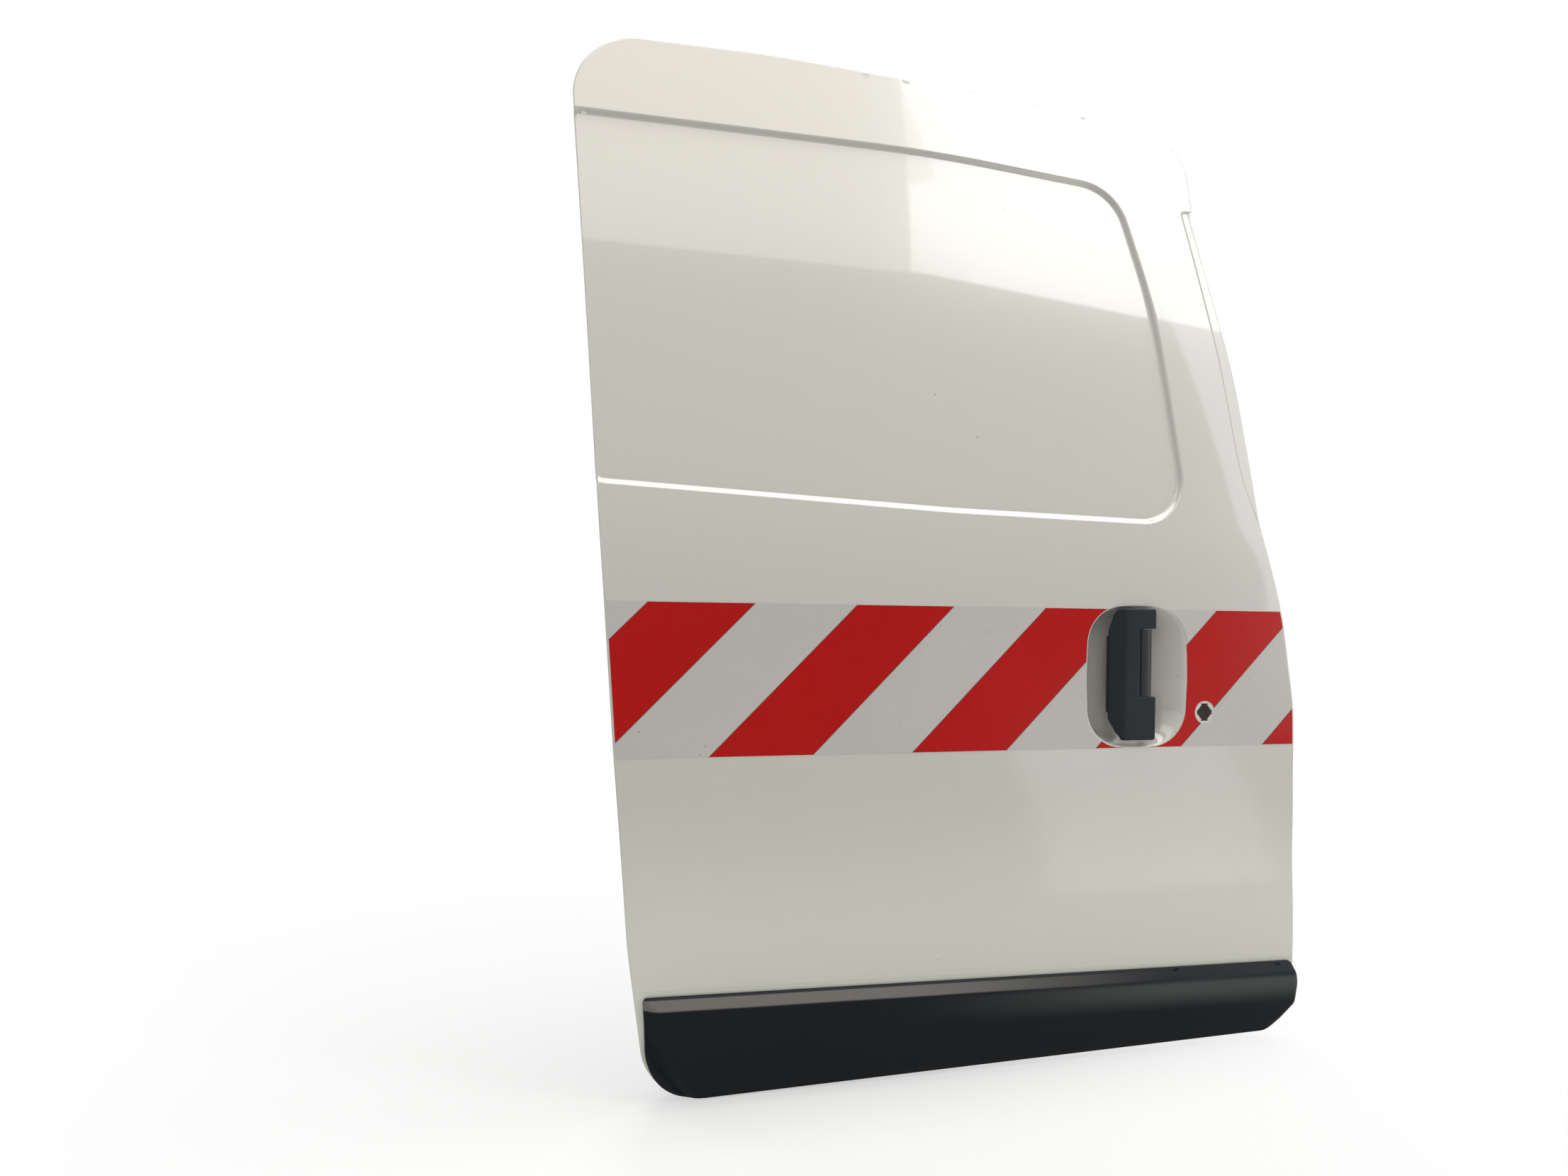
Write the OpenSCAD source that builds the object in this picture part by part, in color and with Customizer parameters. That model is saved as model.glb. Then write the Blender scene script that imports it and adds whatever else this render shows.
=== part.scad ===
// Sliding side door of a mid-size van: a blank pressed panel with a pull handle in a bowl.
// While it is drawn, x runs towards the front of the van, y into the van and z up, with
// y = 0 on the skin at the belt and z = 0 at the foot. The origin then moves to the middle
// of the flat face of the centre hinge bracket.

/* [Sheet metal] */
// Thickness of the outer skin
skin_t = 1.2; // [0.8:0.1:2]
// Thickness of the inner panel
panel_t = 1.2; // [0.8:0.1:2]
// Depth of the door from the skin to the inner face
door_d = 58; // [54:1:75]
// Width of the hem folded round the inner panel
hem_w = 11; // [8:1:14]
// Width of the flange round the inner panel
flange_w = 17; // [15:1:24]

/* [Outline] */
// Height of the upper edge at its crown
top_z = 1461; // [1430:1:1500]
// Rear edge at the top
rear_top_x = -110; // [-125:1:-100]
// Rear edge at the foot
rear_foot_x = 14; // [5:1:25]
// Front edge at the top
front_top_x = 865; // [860:1:880]
// Front edge at the foot
front_foot_x = 1028; // [1022:1:1040]
// Radius of the upper rear corner
rear_top_r = 100; // [60:1:120]
// Radius of the upper front corner
front_top_r = 85; // [50:1:95]
// Radius of the lower rear corner
rear_foot_r = 93; // [50:1:110]
// Radius of the lower front corner
front_foot_r = 58; // [30:1:70]

/* [Section] */
// Height at which the skin starts to curve in towards the foot
sill_z = 510; // [480:1:540]
// Radius of the lower curve
sill_r = 2100; // [1800:10:2600]
// Height of the belt, where the skin starts to lean in
belt_z = 664; // [660:1:670]
// Radius of the shoulder above the belt
shoulder_r = 900; // [700:10:1200]
// Lean of the skin at the top of the shoulder, in degrees
shoulder_lean = 8; // [6:0.5:10]
// Radius of the upper curve
upper_r = 6500; // [5500:50:9000]

/* [Sunk field] */
// Depth of the sunk field
field_d = 7; // [3:0.5:9]
// Width of its sloping side
field_slope_w = 9; // [6:1:14]
// Height of its upper edge
field_top_z = 1330; // [1310:1:1340]
// Height of its lower edge at the front
field_foot_z = 795; // [785:1:810]
// Front edge of the field at the bottom
field_front_x = 798; // [780:1:810]
// Width of the let-in strip down the front edge
ledge_w = 22; // [16:1:30]
// Depth of the let-in strip
ledge_d = 2.5; // [1:0.5:4]

/* [Handle bowl] */
// Middle of the bowl along the door
bowl_x = 708; // [700:1:716]
// Middle of the bowl in height
bowl_z = 567; // [565:1:570]
// Width of the bowl at the skin
bowl_w = 166; // [150:1:172]
// Height of the bowl at the skin
bowl_h = 205; // [198:1:206]
// Radius of its corners
bowl_r = 56; // [40:1:62]
// Depth of the bowl
bowl_d = 34; // [30:1:38]
// Width of the cut-out in the floor of the bowl
bowl_slot_w = 42; // [38:1:46]
// Height of the cut-out in the floor of the bowl
bowl_slot_h = 124; // [116:1:128]

/* [Handle] */
// Width of the grip
grip_w = 73; // [66:1:76]
// Height of the grip
grip_h = 190; // [180:1:192]
// How much shorter the inner part of the grip is at each end
grip_rim = 8; // [6:0.5:12]
// Thickness of the grip's face plate
grip_t = 5; // [4:0.5:7]
// How far the grip stands out from the skin
grip_proud = 8; // [5:0.5:12]
// Radius of the hinge barrel
barrel_r = 11; // [9:0.5:12]
// Height of the fixed hinge barrel
barrel_h = 96; // [80:1:100]
// Gap between the barrel and the grip
barrel_gap = 1.2; // [0.8:0.1:2]
// Radius of the hinge pin
pin_r = 3; // [2:0.1:4]
// Running clearance of the pin
pin_fit = 0.06; // [0.02:0.01:0.1]
// Radius of the wire of the return spring
spring_wire_r = 0.9; // [0.6:0.1:1.2]
// Turns of the return spring
spring_turns = 6; // [4:1:9]
// Thickness of the carrier behind the bowl
carrier_t = 4; // [3:0.5:6]
// Thickness of the gasket behind the bowl
gasket_t = 1.5; // [1:0.5:3]

/* [Lock hole] */
// Middle of the lock hole along the door
lock_x = 823; // [815:1:830]
// Middle of the lock hole in height
lock_z = 513.5; // [505:0.5:520]
// Radius of the lock hole
lock_r = 11; // [9:0.5:12]
// Width across the side notches of the hole
lock_notch = 25.5; // [24:0.5:28]

/* [Lower moulding] */
// Height of its upper edge at the rear
mould_z = 149; // [140:1:160]
// Fall of its upper edge towards the front, in degrees
mould_fall = 1.4; // [0:0.1:2]
// How far it stands out from the skin
mould_proud = 16; // [12:0.5:20]
// Thickness of its edge at the skin
mould_edge = 4; // [2:0.5:6]
// Height of the bevel along its top
mould_bevel = 17; // [12:1:24]
// Wall of the moulding
mould_t = 3; // [2:0.5:4]
// Bare skin left outside its ends
mould_margin = 10; // [7:1:14]

/* [Reflective band] */
// Height of the band
band_h = 200; // [150:1:210]
// Width of a stripe, square across it
stripe_w = 100; // [80:1:120]
// Where the first red stripe starts along the top of the band
stripe_start = -7; // [-20:1:20]
// Thickness of the tape
tape_t = 0.4; // [0.2:0.1:0.6]
// Bare skin between the tape and the rim of the bowl
tape_gap = 1.5; // [1:0.5:4]

/* [Brackets] */
// Width of the centre hinge bracket
hinge_w = 92; // [84:1:110]
// Height of the centre hinge bracket
hinge_h = 112; // [100:1:116]
// Middle of the centre hinge bracket along the door
hinge_x = 28; // [22:1:40]
// Middle of the centre hinge bracket in height
hinge_z = 590; // [585:1:595]
// How far a bracket stands on the inner panel
bracket_d = 14; // [10:1:20]
// Sheet thickness of a bracket
bracket_t = 4; // [3:0.5:6]
// Radius of a bolt hole for an M8 bolt
bolt_r = 4.25; // [4:0.05:5]
// Bolt spacing along the door
bolt_dx = 50; // [40:1:60]
// Bolt spacing in height
bolt_dz = 64; // [50:1:72]

/* [Inside] */
// Height of the lower edge of the upper opening
upper_open_z = 872; // [860:1:900]
// Height of the waist beam
waist_h = 74; // [60:1:80]
// Height of the crash tube
tube_z = 300; // [280:1:320]
// Radius of the crash tube
tube_r = 16; // [12:1:18]
// Wall of the crash tube
tube_t = 2.5; // [1.5:0.5:4]
// Height of the brace behind the sunk field
brace_z = 1085; // [1060:1:1110]
// Height of the brace's section
brace_h = 46; // [36:1:56]
// Depth of the brace and waist beam sections
brace_d = 16; // [12:1:18]
// Thickness of the mastic pads that steady the skin
mastic_t = 4; // [3:0.5:6]
// Depth of the beads pressed in the inner panel
bead_d = 4; // [2:0.5:5]
// Width of a latch case, square to the shut face
latch_w = 44; // [38:1:50]
// Height of a latch case
latch_h = 92; // [80:1:96]
// Depth of a latch case
latch_d = 34; // [30:1:38]
// Height of the mouth for the striker
mouth_h = 16; // [12:1:20]
// Depth of the mouth, square to the shut face
mouth_w = 26; // [22:1:30]
// Height of a buffer on the rear shut face
buffer_h = 40; // [30:1:50]
// How far a buffer stands out from the shut face
buffer_out = 11; // [8:1:14]
// Radius of a guide pin
guide_r = 8; // [6:0.5:9]
// How far a guide pin stands out from its plate
guide_out = 12; // [9:1:14]
// Width of the inside handle's base
inside_w = 96; // [84:1:104]
// Height of the inside handle's base
inside_h = 52; // [44:1:58]
// How far the inside handle's base stands on the inner face
inside_d = 12; // [10:1:16]

/* [Arm brackets] */
// Middle of the upper arm bracket along the door
upper_arm_x = 745; // [700:1:760]
// Width of the upper arm bracket
upper_arm_w = 84; // [76:1:96]
// Height of the upper arm bracket
upper_arm_h = 60; // [54:1:64]
// Bolt spacing of the upper arm bracket along the door
upper_dx = 44; // [36:1:50]
// Bolt spacing of the upper arm bracket in height
upper_dz = 26; // [22:1:30]
// Middle of the lower arm bracket along the door
lower_arm_x = 915; // [905:1:920]
// Middle of the lower arm bracket in height
lower_arm_z = 112; // [108:1:118]
// Width of the lower arm bracket
lower_arm_w = 84; // [76:1:92]
// Height of the lower arm bracket
lower_arm_h = 96; // [84:1:104]
// Bolt spacing of the lower arm bracket along the door
lower_dx = 44; // [36:1:50]
// Bolt spacing of the lower arm bracket in height
lower_dz = 56; // [46:1:64]

/* [Hidden] */

// Largest turn between two points of an arc, in degrees
arc_step = 9;
// Front and back limits of a cutter that goes right through
near_y = -120;
far_y = 320;
skin_col = "gainsboro";
steel_col = "silver";
black_col = "#2b3036";

// Angles and heights where the curves of the section meet
shoulder_z = belt_z + shoulder_r * sin(shoulder_lean);
shoulder_y = shoulder_r * (1 - cos(shoulder_lean));

// Depth of the skin's outer face at a height
function skin_y(z) =
  z < sill_z ? sill_r - sqrt(sill_r * sill_r - (sill_z - z) * (sill_z - z))
  : z < belt_z ? 0
  : z < shoulder_z ? shoulder_r - sqrt(shoulder_r * shoulder_r - (z - belt_z) * (z - belt_z))
  : let (s = sin(shoulder_lean) + (z - shoulder_z) / upper_r)
    shoulder_y + upper_r * (cos(shoulder_lean) - sqrt(1 - s * s));

low_z = -30;
high_z = top_z + 40;
// Heights between which the skin is flat in the section
function spread(a, b, n) = [for (i = [0:n - 1]) a + (b - a) * i / n];
stations = concat(spread(low_z, sill_z, 6), spread(sill_z, belt_z, 1),
                  spread(belt_z, shoulder_z, 4), spread(shoulder_z, high_z, 7), [high_z]);

// Depth of the flat strips that the section is made of
function strip_y(z, i = 0) =
  i >= len(stations) - 2 || z < stations[i + 1]
  ? let (a = stations[i], b = stations[i + 1])
    skin_y(a) + (skin_y(b) - skin_y(a)) * (z - a) / (b - a)
  : strip_y(z, i + 1);

function unit(v) = v / norm(v);
function cross2(a, b) = a[0] * b[1] - a[1] * b[0];
function xz(p) = [p[0], p[1]];

// Points of the arc that rounds corner b between its neighbours a and c, in a given number
// of steps or as many as its turn needs
function fillet(a, b, c, r, steps) =
  let (u = unit(xz(a) - xz(b)), v = unit(xz(c) - xz(b)), half = acos(u * v) / 2,
       turn = 180 - 2 * half, m = xz(b) + unit(u + v) * r / sin(half),
       from = xz(b) + u * r / tan(half) - m, side = cross2(u, v) > 0 ? -1 : 1,
       n = is_undef(steps) ? max(1, ceil(turn / arc_step)) : steps, a0 = atan2(from[1], from[0]))
  [for (i = [0:n]) m + r * [cos(a0 + side * turn * i / n), sin(a0 + side * turn * i / n)]];

// Closed outline from corners [x, z, radius], or [x, z, radius, steps of the arc]
function rounded(p) =
  let (n = len(p))
  [for (i = [0:n - 1]) each fillet(p[(i + n - 1) % n], p[i], p[(i + 1) % n], p[i][2], p[i][3])];

// The same corners moved inwards by d, for corners listed anticlockwise
function inset(p, d) =
  let (n = len(p))
  [for (i = [0:n - 1])
     let (e = unit(xz(p[i]) - xz(p[(i + n - 1) % n])), f = unit(xz(p[(i + 1) % n]) - xz(p[i])),
          s = [-e[1], e[0]], t = [-f[1], f[0]], q = xz(p[i]) + d * (s + t) / (1 + s * t),
          r = cross2(e, f) > 0 ? p[i][2] - d : p[i][2] + d)
     [q[0], q[1], max(r, 2), p[i][3]]];

// Corners of the door, anticlockwise from the lower rear one
foot_corners = [[rear_foot_x, -4, rear_foot_r], [front_foot_x, 12, front_foot_r]];
front_corners = [[1016, 120, 400], [991, 290, 700], [983, 420, 500], [981, 520, 300],
                 [960, 652, 300], [931, 765, 30], [926, 790, 60], [905, 1030, 1200]];
notch_z = 1294;
header_corners = [[857, notch_z - 2, 3], [front_top_x - 1, notch_z + 2, 3],
                  [front_top_x, top_z - 33, front_top_r]];
plain_corners = [[853, top_z - 33, front_top_r]];
rear_corners = [[480, top_z - 8, 2500], [180, top_z, 1500], [rear_top_x, top_z - 10, rear_top_r],
                [-70, 760, 3000], [-47, 470, 3000], [-22, 215, 900]];
skin_corners = concat(foot_corners, front_corners, header_corners, rear_corners);
frame_corners = concat(foot_corners, front_corners, plain_corners, rear_corners);

// Corners of the sunk field, which runs out through the rear edge
field_corners = [[-280, field_foot_z + 31, 5], [420, field_foot_z + 3, 3000],
                 [field_front_x, field_foot_z - 3, 70], [field_front_x - 26, 1120, 900],
                 [field_front_x - 71, field_top_z - 12, 75], [420, field_top_z + 8, 2500],
                 [-280, field_top_z - 3, 5]];

// Corners of the bowl, with slightly bowed sides
bowl_left = bowl_x - bowl_w / 2;
bowl_right = bowl_x + bowl_w / 2;
bowl_low = bowl_z - bowl_h / 2;
bowl_high = bowl_z + bowl_h / 2;
bow = 4;
bowl_corners = [[bowl_left + bow, bowl_low + bow, bowl_r, 8], [bowl_x, bowl_low, 300, 2],
                [bowl_right - bow, bowl_low + bow, bowl_r, 8], [bowl_right, bowl_z, 400, 2],
                [bowl_right - bow, bowl_high - bow, bowl_r, 8], [bowl_x, bowl_high, 300, 2],
                [bowl_left + bow, bowl_high - bow, bowl_r, 8], [bowl_left, bowl_z, 400, 2]];

// Hinge axis of the grip
pin_x = 720;
pin_y = 3;
grip_z = 570;
grip_left = pin_x + 14 - grip_w;
grip_right = pin_x + 14;
barrel_z = 587;

// The frame in which the part is handed on
origin_x = hinge_x;
origin_y = door_d + bracket_d;
origin_z = hinge_z;
module place() { translate([-origin_x, -origin_y, -origin_z]) children(); }

// Flat drawing in x and z, made solid along y
module along_y(y0, y1) {
  translate([0, y1, 0]) rotate([90, 0, 0]) linear_extrude(height = y1 - y0) children();
}

// Flat drawing in y and z, made solid along x
module along_x(x0, x1) {
  translate([x0, 0, 0]) rotate([90, 0, 90]) linear_extrude(height = x1 - x0) children();
}

module upright(x, y, z0, z1, r) { translate([x, y, z0]) cylinder(h = z1 - z0, r = r, $fn = 48); }

module outline(corners, d = 0) {
  along_y(near_y, far_y) polygon(rounded(inset(corners, d)));
}

// Everything deeper than the smooth section, moved inwards by d
module deeper(d) {
  along_x(-300, 1200) polygon(concat([for (z = stations) [skin_y(z) + d, z]],
                                     [[far_y + 10, high_z], [far_y + 10, low_z]]));
}

// A layer of the section between two depths
module layer(d0, d1) {
  along_x(-300, 1200) polygon(concat([for (z = stations) [skin_y(z) + d0, z]],
    [for (i = [len(stations) - 1:-1:0]) [skin_y(stations[i]) + d1, stations[i]]]));
}

// Solid through a row of closed rings of [x, y, z] points, front ring first
module ringed(rings) {
  n = len(rings[0]);
  m = len(rings);
  polyhedron(points = [for (r = rings) each r],
    faces = concat([[for (i = [n - 1:-1:0]) i]],
      [for (k = [0:m - 2], i = [0:n - 1])
         [k * n + i, k * n + (i + 1) % n, (k + 1) * n + (i + 1) % n, (k + 1) * n + i]],
      [[for (i = [0:n - 1]) (m - 1) * n + i]]));
}

// Room in front of the sunk field; d is how far behind the outer face. Its sloping side
// runs a little past both levels, so that it crosses them cleanly
past = 3;
module field_room(d) {
  run = field_slope_w * (0.5 + past / field_d);
  wide = rounded(inset(field_corners, -0.6 * d - run));
  narrow = rounded(inset(field_corners, -0.6 * d + run));
  difference() {
    ringed([[for (p = wide) [p[0], near_y, p[1]]],
            [for (p = wide) [p[0], strip_y(p[1]) + d - past, p[1]]],
            [for (p = narrow) [p[0], strip_y(p[1]) + d + field_d + past, p[1]]],
            [for (p = narrow) [p[0], far_y, p[1]]]]);
    deeper(d + field_d);
  }
}

// Corners of the strip let in down the front edge, anticlockwise
ledge_corners = [[938, 752, 4], [1000, 752, 4], [front_top_x + 40, notch_z, 4],
                 [857 - 0.6 * ledge_w, notch_z, 6], [903 - ledge_w, 1052, 1500],
                 [920 - ledge_w, 870, 300]];

// Room in front of the let-in strip
module ledge_room(d) {
  difference() {
    along_y(near_y, far_y) polygon(rounded(inset(ledge_corners, -d)));
    deeper(d + ledge_d);
  }
}

// Room inside the bowl: share of the depth, then how far each side has come in
bowl_steps = [[-0.06, -0.06], [0.06, 0.10], [0.3, 0.30], [0.62, 0.56], [0.86, 0.78], [1, 1]];
bowl_side_left = 18;
bowl_side_right = 48;
bowl_side_end = 17;
function bowl_mid(s) = bowl_x + s * (bowl_side_left - bowl_side_right) / 2;
function bowl_ring(depth, s, out) =
  let (c = [for (p = inset(bowl_corners, -out))
              [bowl_mid(s) + (p[0] - bowl_x) * (1 - s * (bowl_side_left + bowl_side_right) / bowl_w),
               bowl_z + (p[1] - bowl_z) * (1 - s * 2 * bowl_side_end / bowl_h),
               p[2] * (1 - 0.45 * s), p[3]]])
  [for (p = rounded(c)) [p[0], depth, p[1]]];

module bowl_room(d) {
  ringed(concat([bowl_ring(near_y, bowl_steps[0][1], 0.6 * d)],
    [for (s = bowl_steps) bowl_ring(s[0] * bowl_d + d, s[1], 0.6 * d)]));
}

// Everything deeper than the pressed outer face
module behind(d, bowl = false) {
  difference() {
    deeper(d);
    field_room(d);
    ledge_room(d);
    if (bowl) bowl_room(d);
  }
}

// A sheet that follows the pressed outer face between two depths
module sheet(d0, d1, bowl = false) {
  difference() {
    behind(d0, bowl);
    behind(d1, bowl);
  }
}

module lock_hole() {
  along_y(near_y, far_y) translate([lock_x, lock_z]) {
    circle(r = lock_r, $fn = 48);
    square([lock_notch, 0.7 * lock_r], center = true);
    square([1.2 * lock_r, lock_notch], center = true);
  }
}

module outer_skin() color(skin_col) place() {
  difference() {
    intersection() {
      sheet(0, skin_t, true);
      outline(skin_corners);
    }
    lock_hole();
    along_y(bowl_d - 8, bowl_d + 8) translate([pin_x, slot_z])
      square([bowl_slot_w, bowl_slot_h], center = true);
  }
  intersection() {
    difference() {
      outline(skin_corners);
      outline(frame_corners, skin_t);
    }
    sheet(skin_t, skin_t + panel_t);
  }
  intersection() {
    difference() {
      outline(skin_corners);
      outline(frame_corners, hem_w);
    }
    sheet(skin_t + panel_t, 2 * skin_t + panel_t);
  }
}

// Openings through the inner face, as corners with radii
upper_open_top = top_z - 143;
upper_open = [[-24, upper_open_z, 60], [770, upper_open_z, 60], [752, upper_open_top - 58, 70],
              [705, upper_open_top, 70], [-20, upper_open_top, 60], [-48, upper_open_top - 68, 60]];
rear_open = [[88, 196, 40], [430, 190, 40], [430, 520, 40], [110, 520, 40], [70, 470, 30]];
front_open = [[520, 188, 40], [880, 182, 40], [872, 404, 40], [520, 404, 40]];
handle_open = [for (c = [[-1, -1], [1, -1], [1, 1], [-1, 1]])
  [bowl_x + 2 + c[0] * (bowl_w / 2 - 7), bowl_z + 1 + c[1] * (bowl_h / 2 - 20.5), 24]];

// Beads pressed into the inner face
bead_r = 14;
beads = [[[120, 78, bead_r], [840, 90, bead_r], [840, 122, bead_r], [120, 110, bead_r]],
         [[180, 700, bead_r], [560, 700, bead_r], [560, 732, bead_r], [180, 732, bead_r]],
         [[452, 210, bead_r], [492, 210, bead_r], [492, 600, bead_r], [452, 600, bead_r]]];

// Puts children on a straight stretch of the door's edge, their x axis pointing out of it
module seated(a, b, share, inwards) {
  u = unit(xz(b) - xz(a));
  out = [u[1], -u[0]];
  spot = xz(a) + (xz(b) - xz(a)) * share - out * inwards;
  translate([spot[0], skin_y(spot[1]), spot[1]])
    rotate([0, -atan2(out[1], out[0]), 0]) children();
}

// The straight stretches where the latches sit
module at_front_latch(inwards) { seated(front_corners[3], front_corners[4], 0.51, inwards) children(); }
module at_rear_latch(inwards) { seated(rear_corners[3], rear_corners[4], 0.58, inwards) children(); }

// Cut for the striker through the shut face and the edge of the inner face
module striker_way() {
  translate([-mouth_w, door_d - panel_t - mouth_w, -mouth_h / 2])
    cube([mouth_w + flange_w, mouth_w + 10, mouth_h]);
}

module inner_panel() color("lightgray") place() {
  difference() {
    intersection() {
      outline(frame_corners, flange_w);
      union() {
        shut_faces();
        layer(door_d - panel_t, door_d);
        intersection() {
          layer(door_d - 1, door_d + bead_d);
          along_y(near_y, far_y) for (bead = beads) polygon(rounded(bead));
        }
      }
    }
    intersection() {
      layer(door_d - 2 * panel_t, door_d + bead_d - panel_t);
      along_y(near_y, far_y) for (bead = beads) polygon(rounded(inset(bead, panel_t)));
    }
    for (hole = [upper_open, rear_open, front_open, handle_open])
      along_y(near_y, far_y) polygon(rounded(hole));
    at_front_latch(flange_w + panel_t) striker_way();
    at_rear_latch(flange_w + panel_t) striker_way();
  }
}

// Wall from the flange up to the inner face, all round the door
module shut_faces() {
  difference() {
    intersection() {
      outline(frame_corners, flange_w);
      behind(skin_t + panel_t);
    }
    outline(frame_corners, flange_w + panel_t);
    deeper(door_d);
  }
}

// Flange of the inner panel, folded in under the hem
module panel_flange() color("lightgray") place() {
  intersection() {
    difference() {
      outline(frame_corners, skin_t);
      outline(frame_corners, flange_w + panel_t);
    }
    sheet(skin_t, skin_t + panel_t);
  }
}

// Hat section of height h whose flanges lie on the back of the inner panel
sheet_t = 1.5;
hat_wing = 12;
module hat(z, h, x0, x1) {
  back = door_d - panel_t;
  difference() {
    intersection() {
      translate([x0, near_y, z - h / 2]) cube([x1 - x0, far_y - near_y, h]);
      layer(back - brace_d, back);
    }
    intersection() {
      layer(back - brace_d + sheet_t, back + 1);
      translate([x0 - 1, near_y, z - h / 2 + hat_wing + sheet_t])
        cube([x1 - x0 + 2, far_y - near_y, h - 2 * (hat_wing + sheet_t)]);
    }
    intersection() {
      layer(-60, back - sheet_t);
      for (low = [z - h / 2 - 1, z + h / 2 - hat_wing])
        translate([x0 - 1, near_y, low]) cube([x1 - x0 + 2, far_y - near_y, hat_wing + 1]);
    }
  }
}

// The waist beam spans the door just under the upper opening
beam_z = upper_open_z - 60 - waist_h / 2;
module waist_beam() color(steel_col) place() {
  intersection() {
    hat(beam_z, waist_h, -200, 1200);
    outline(frame_corners, flange_w + panel_t + 1);
  }
}

tube_y = skin_y(tube_z) + tube_r + 10;
tube_x0 = rear_foot_x - 4;
tube_x1 = front_foot_x - 88;
module crash_tube() color("dimgray") place() {
  translate([tube_x0, tube_y, tube_z]) rotate([0, 90, 0]) difference() {
    cylinder(h = tube_x1 - tube_x0, r = tube_r, $fn = 48);
    translate([0, 0, -1]) cylinder(h = tube_x1 - tube_x0 + 2, r = tube_r - tube_t, $fn = 48);
  }
}

// Saddles that hold the tube against the back of the inner panel
saddle_w = 40;
module crash_tube_brackets() color(steel_col) place() {
  for (x = [tube_x0 + 8, tube_x1 - 8 - saddle_w]) {
    difference() {
      intersection() {
        translate([x, tube_y, tube_z - tube_r - 14]) cube([saddle_w, door_d, 2 * tube_r + 28]);
        layer(-60, door_d - panel_t);
      }
      translate([x - 1, tube_y, tube_z]) rotate([0, 90, 0])
        cylinder(h = saddle_w + 2, r = tube_r, $fn = 48);
    }
  }
}

// Hat section behind the sunk field, its flanges towards the skin
brace_wing = 8.5;
brace_y = field_d + skin_t + mastic_t;
module skin_brace() color(steel_col) place() {
  low = brace_z - brace_h / 2;
  intersection() {
    outline(frame_corners, flange_w + panel_t);
    translate([-200, near_y, low]) cube([1400, far_y - near_y, brace_h]);
    difference() {
      layer(brace_y, brace_y + brace_d);
      intersection() {
        translate([-201, near_y, low + brace_wing + sheet_t])
          cube([1402, far_y - near_y, brace_h - 2 * (brace_wing + sheet_t)]);
        layer(brace_y - 1, brace_y + brace_d - sheet_t);
      }
      intersection() {
        for (edge = [low - 1, low + brace_h - brace_wing])
          translate([-201, near_y, edge]) cube([1402, far_y - near_y, brace_wing + 1]);
        layer(brace_y + sheet_t, brace_y + brace_d + 1);
      }
    }
  }
}

module mastic_pads() color("dimgray") place() {
  for (x = [60, 250, 440, 630], side = [-1, 1])
    intersection() {
      layer(field_d + skin_t, brace_y);
      along_y(near_y, far_y) translate([x, brace_z + side * (brace_h - brace_wing) / 2])
        square([28, brace_wing], center = true);
    }
}

// Pressed cup with a flat outer face, standing on the inner panel, with bolt holes
module arm_bracket(x, z, w, h, face, dx, dz) {
  difference() {
    intersection() {
      along_y(near_y, face) polygon(rounded([[x - w / 2, z - h / 2, 12], [x + w / 2, z - h / 2, 12],
                                             [x + w / 2, z + h / 2, 12], [x - w / 2, z + h / 2, 12]]));
      deeper(door_d);
    }
    along_y(near_y, face - bracket_t)
      polygon(rounded([[x - w / 2 + bracket_t, z - h / 2 + bracket_t, 8],
                       [x + w / 2 - bracket_t, z - h / 2 + bracket_t, 8],
                       [x + w / 2 - bracket_t, z + h / 2 - bracket_t, 8],
                       [x - w / 2 + bracket_t, z + h / 2 - bracket_t, 8]]));
    for (i = [-1, 1], k = [-1, 1])
      translate([x + i * dx / 2, face - 2 * bracket_t, z + k * dz / 2]) rotate([-90, 0, 0])
        cylinder(h = 3 * bracket_t, r = bolt_r, $fn = 48);
  }
}

module centre_hinge_bracket() color("dimgray") place() {
  arm_bracket(hinge_x, hinge_z, hinge_w, hinge_h, door_d + bracket_d, bolt_dx, bolt_dz);
}

upper_arm_z = top_z - 97;
upper_arm_face = skin_y(upper_arm_z + upper_arm_h / 2) + door_d + bracket_d;
module upper_arm_bracket() color("dimgray") place() {
  arm_bracket(upper_arm_x, upper_arm_z, upper_arm_w, upper_arm_h, upper_arm_face, upper_dx, upper_dz);
}

lower_arm_face = skin_y(lower_arm_z - 40) + door_d + bracket_d;
module lower_arm_bracket() color("dimgray") place() {
  arm_bracket(lower_arm_x, lower_arm_z, lower_arm_w, lower_arm_h, lower_arm_face, lower_dx, lower_dz);
}

// Latch case in the corner of shut face and inner face, with a mouth for the striker
latch_back = door_d - panel_t;
module latch_case() {
  difference() {
    translate([-latch_w, latch_back - latch_d, -latch_h / 2]) cube([latch_w, latch_d, latch_h]);
    striker_way();
  }
}

// Claw in the mouth: a fork on a round hub, open towards the striker
claw_t = 8;
claw_gap = 8;
module latch_claw() {
  mid = latch_back - mouth_w / 2;
  translate([-mouth_w + 9, mid, -claw_t / 2]) difference() {
    union() {
      cylinder(h = claw_t, r = 9, $fn = 48);
      for (side = [-1, 1])
        translate([0, side * (claw_gap / 2 + 2.5) - 2.5, 0]) cube([14, 5, claw_t]);
    }
    translate([0, -claw_gap / 2, -1]) cube([20, claw_gap, claw_t + 2]);
  }
}

module front_latch() color(steel_col) place() { at_front_latch(flange_w + panel_t) latch_case(); }

module rear_latch() color(steel_col) place() { at_rear_latch(flange_w + panel_t) latch_case(); }

module front_claw() color("gold") place() { at_front_latch(flange_w + panel_t) latch_claw(); }

module rear_claw() color("gold") place() { at_rear_latch(flange_w + panel_t) latch_claw(); }

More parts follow.
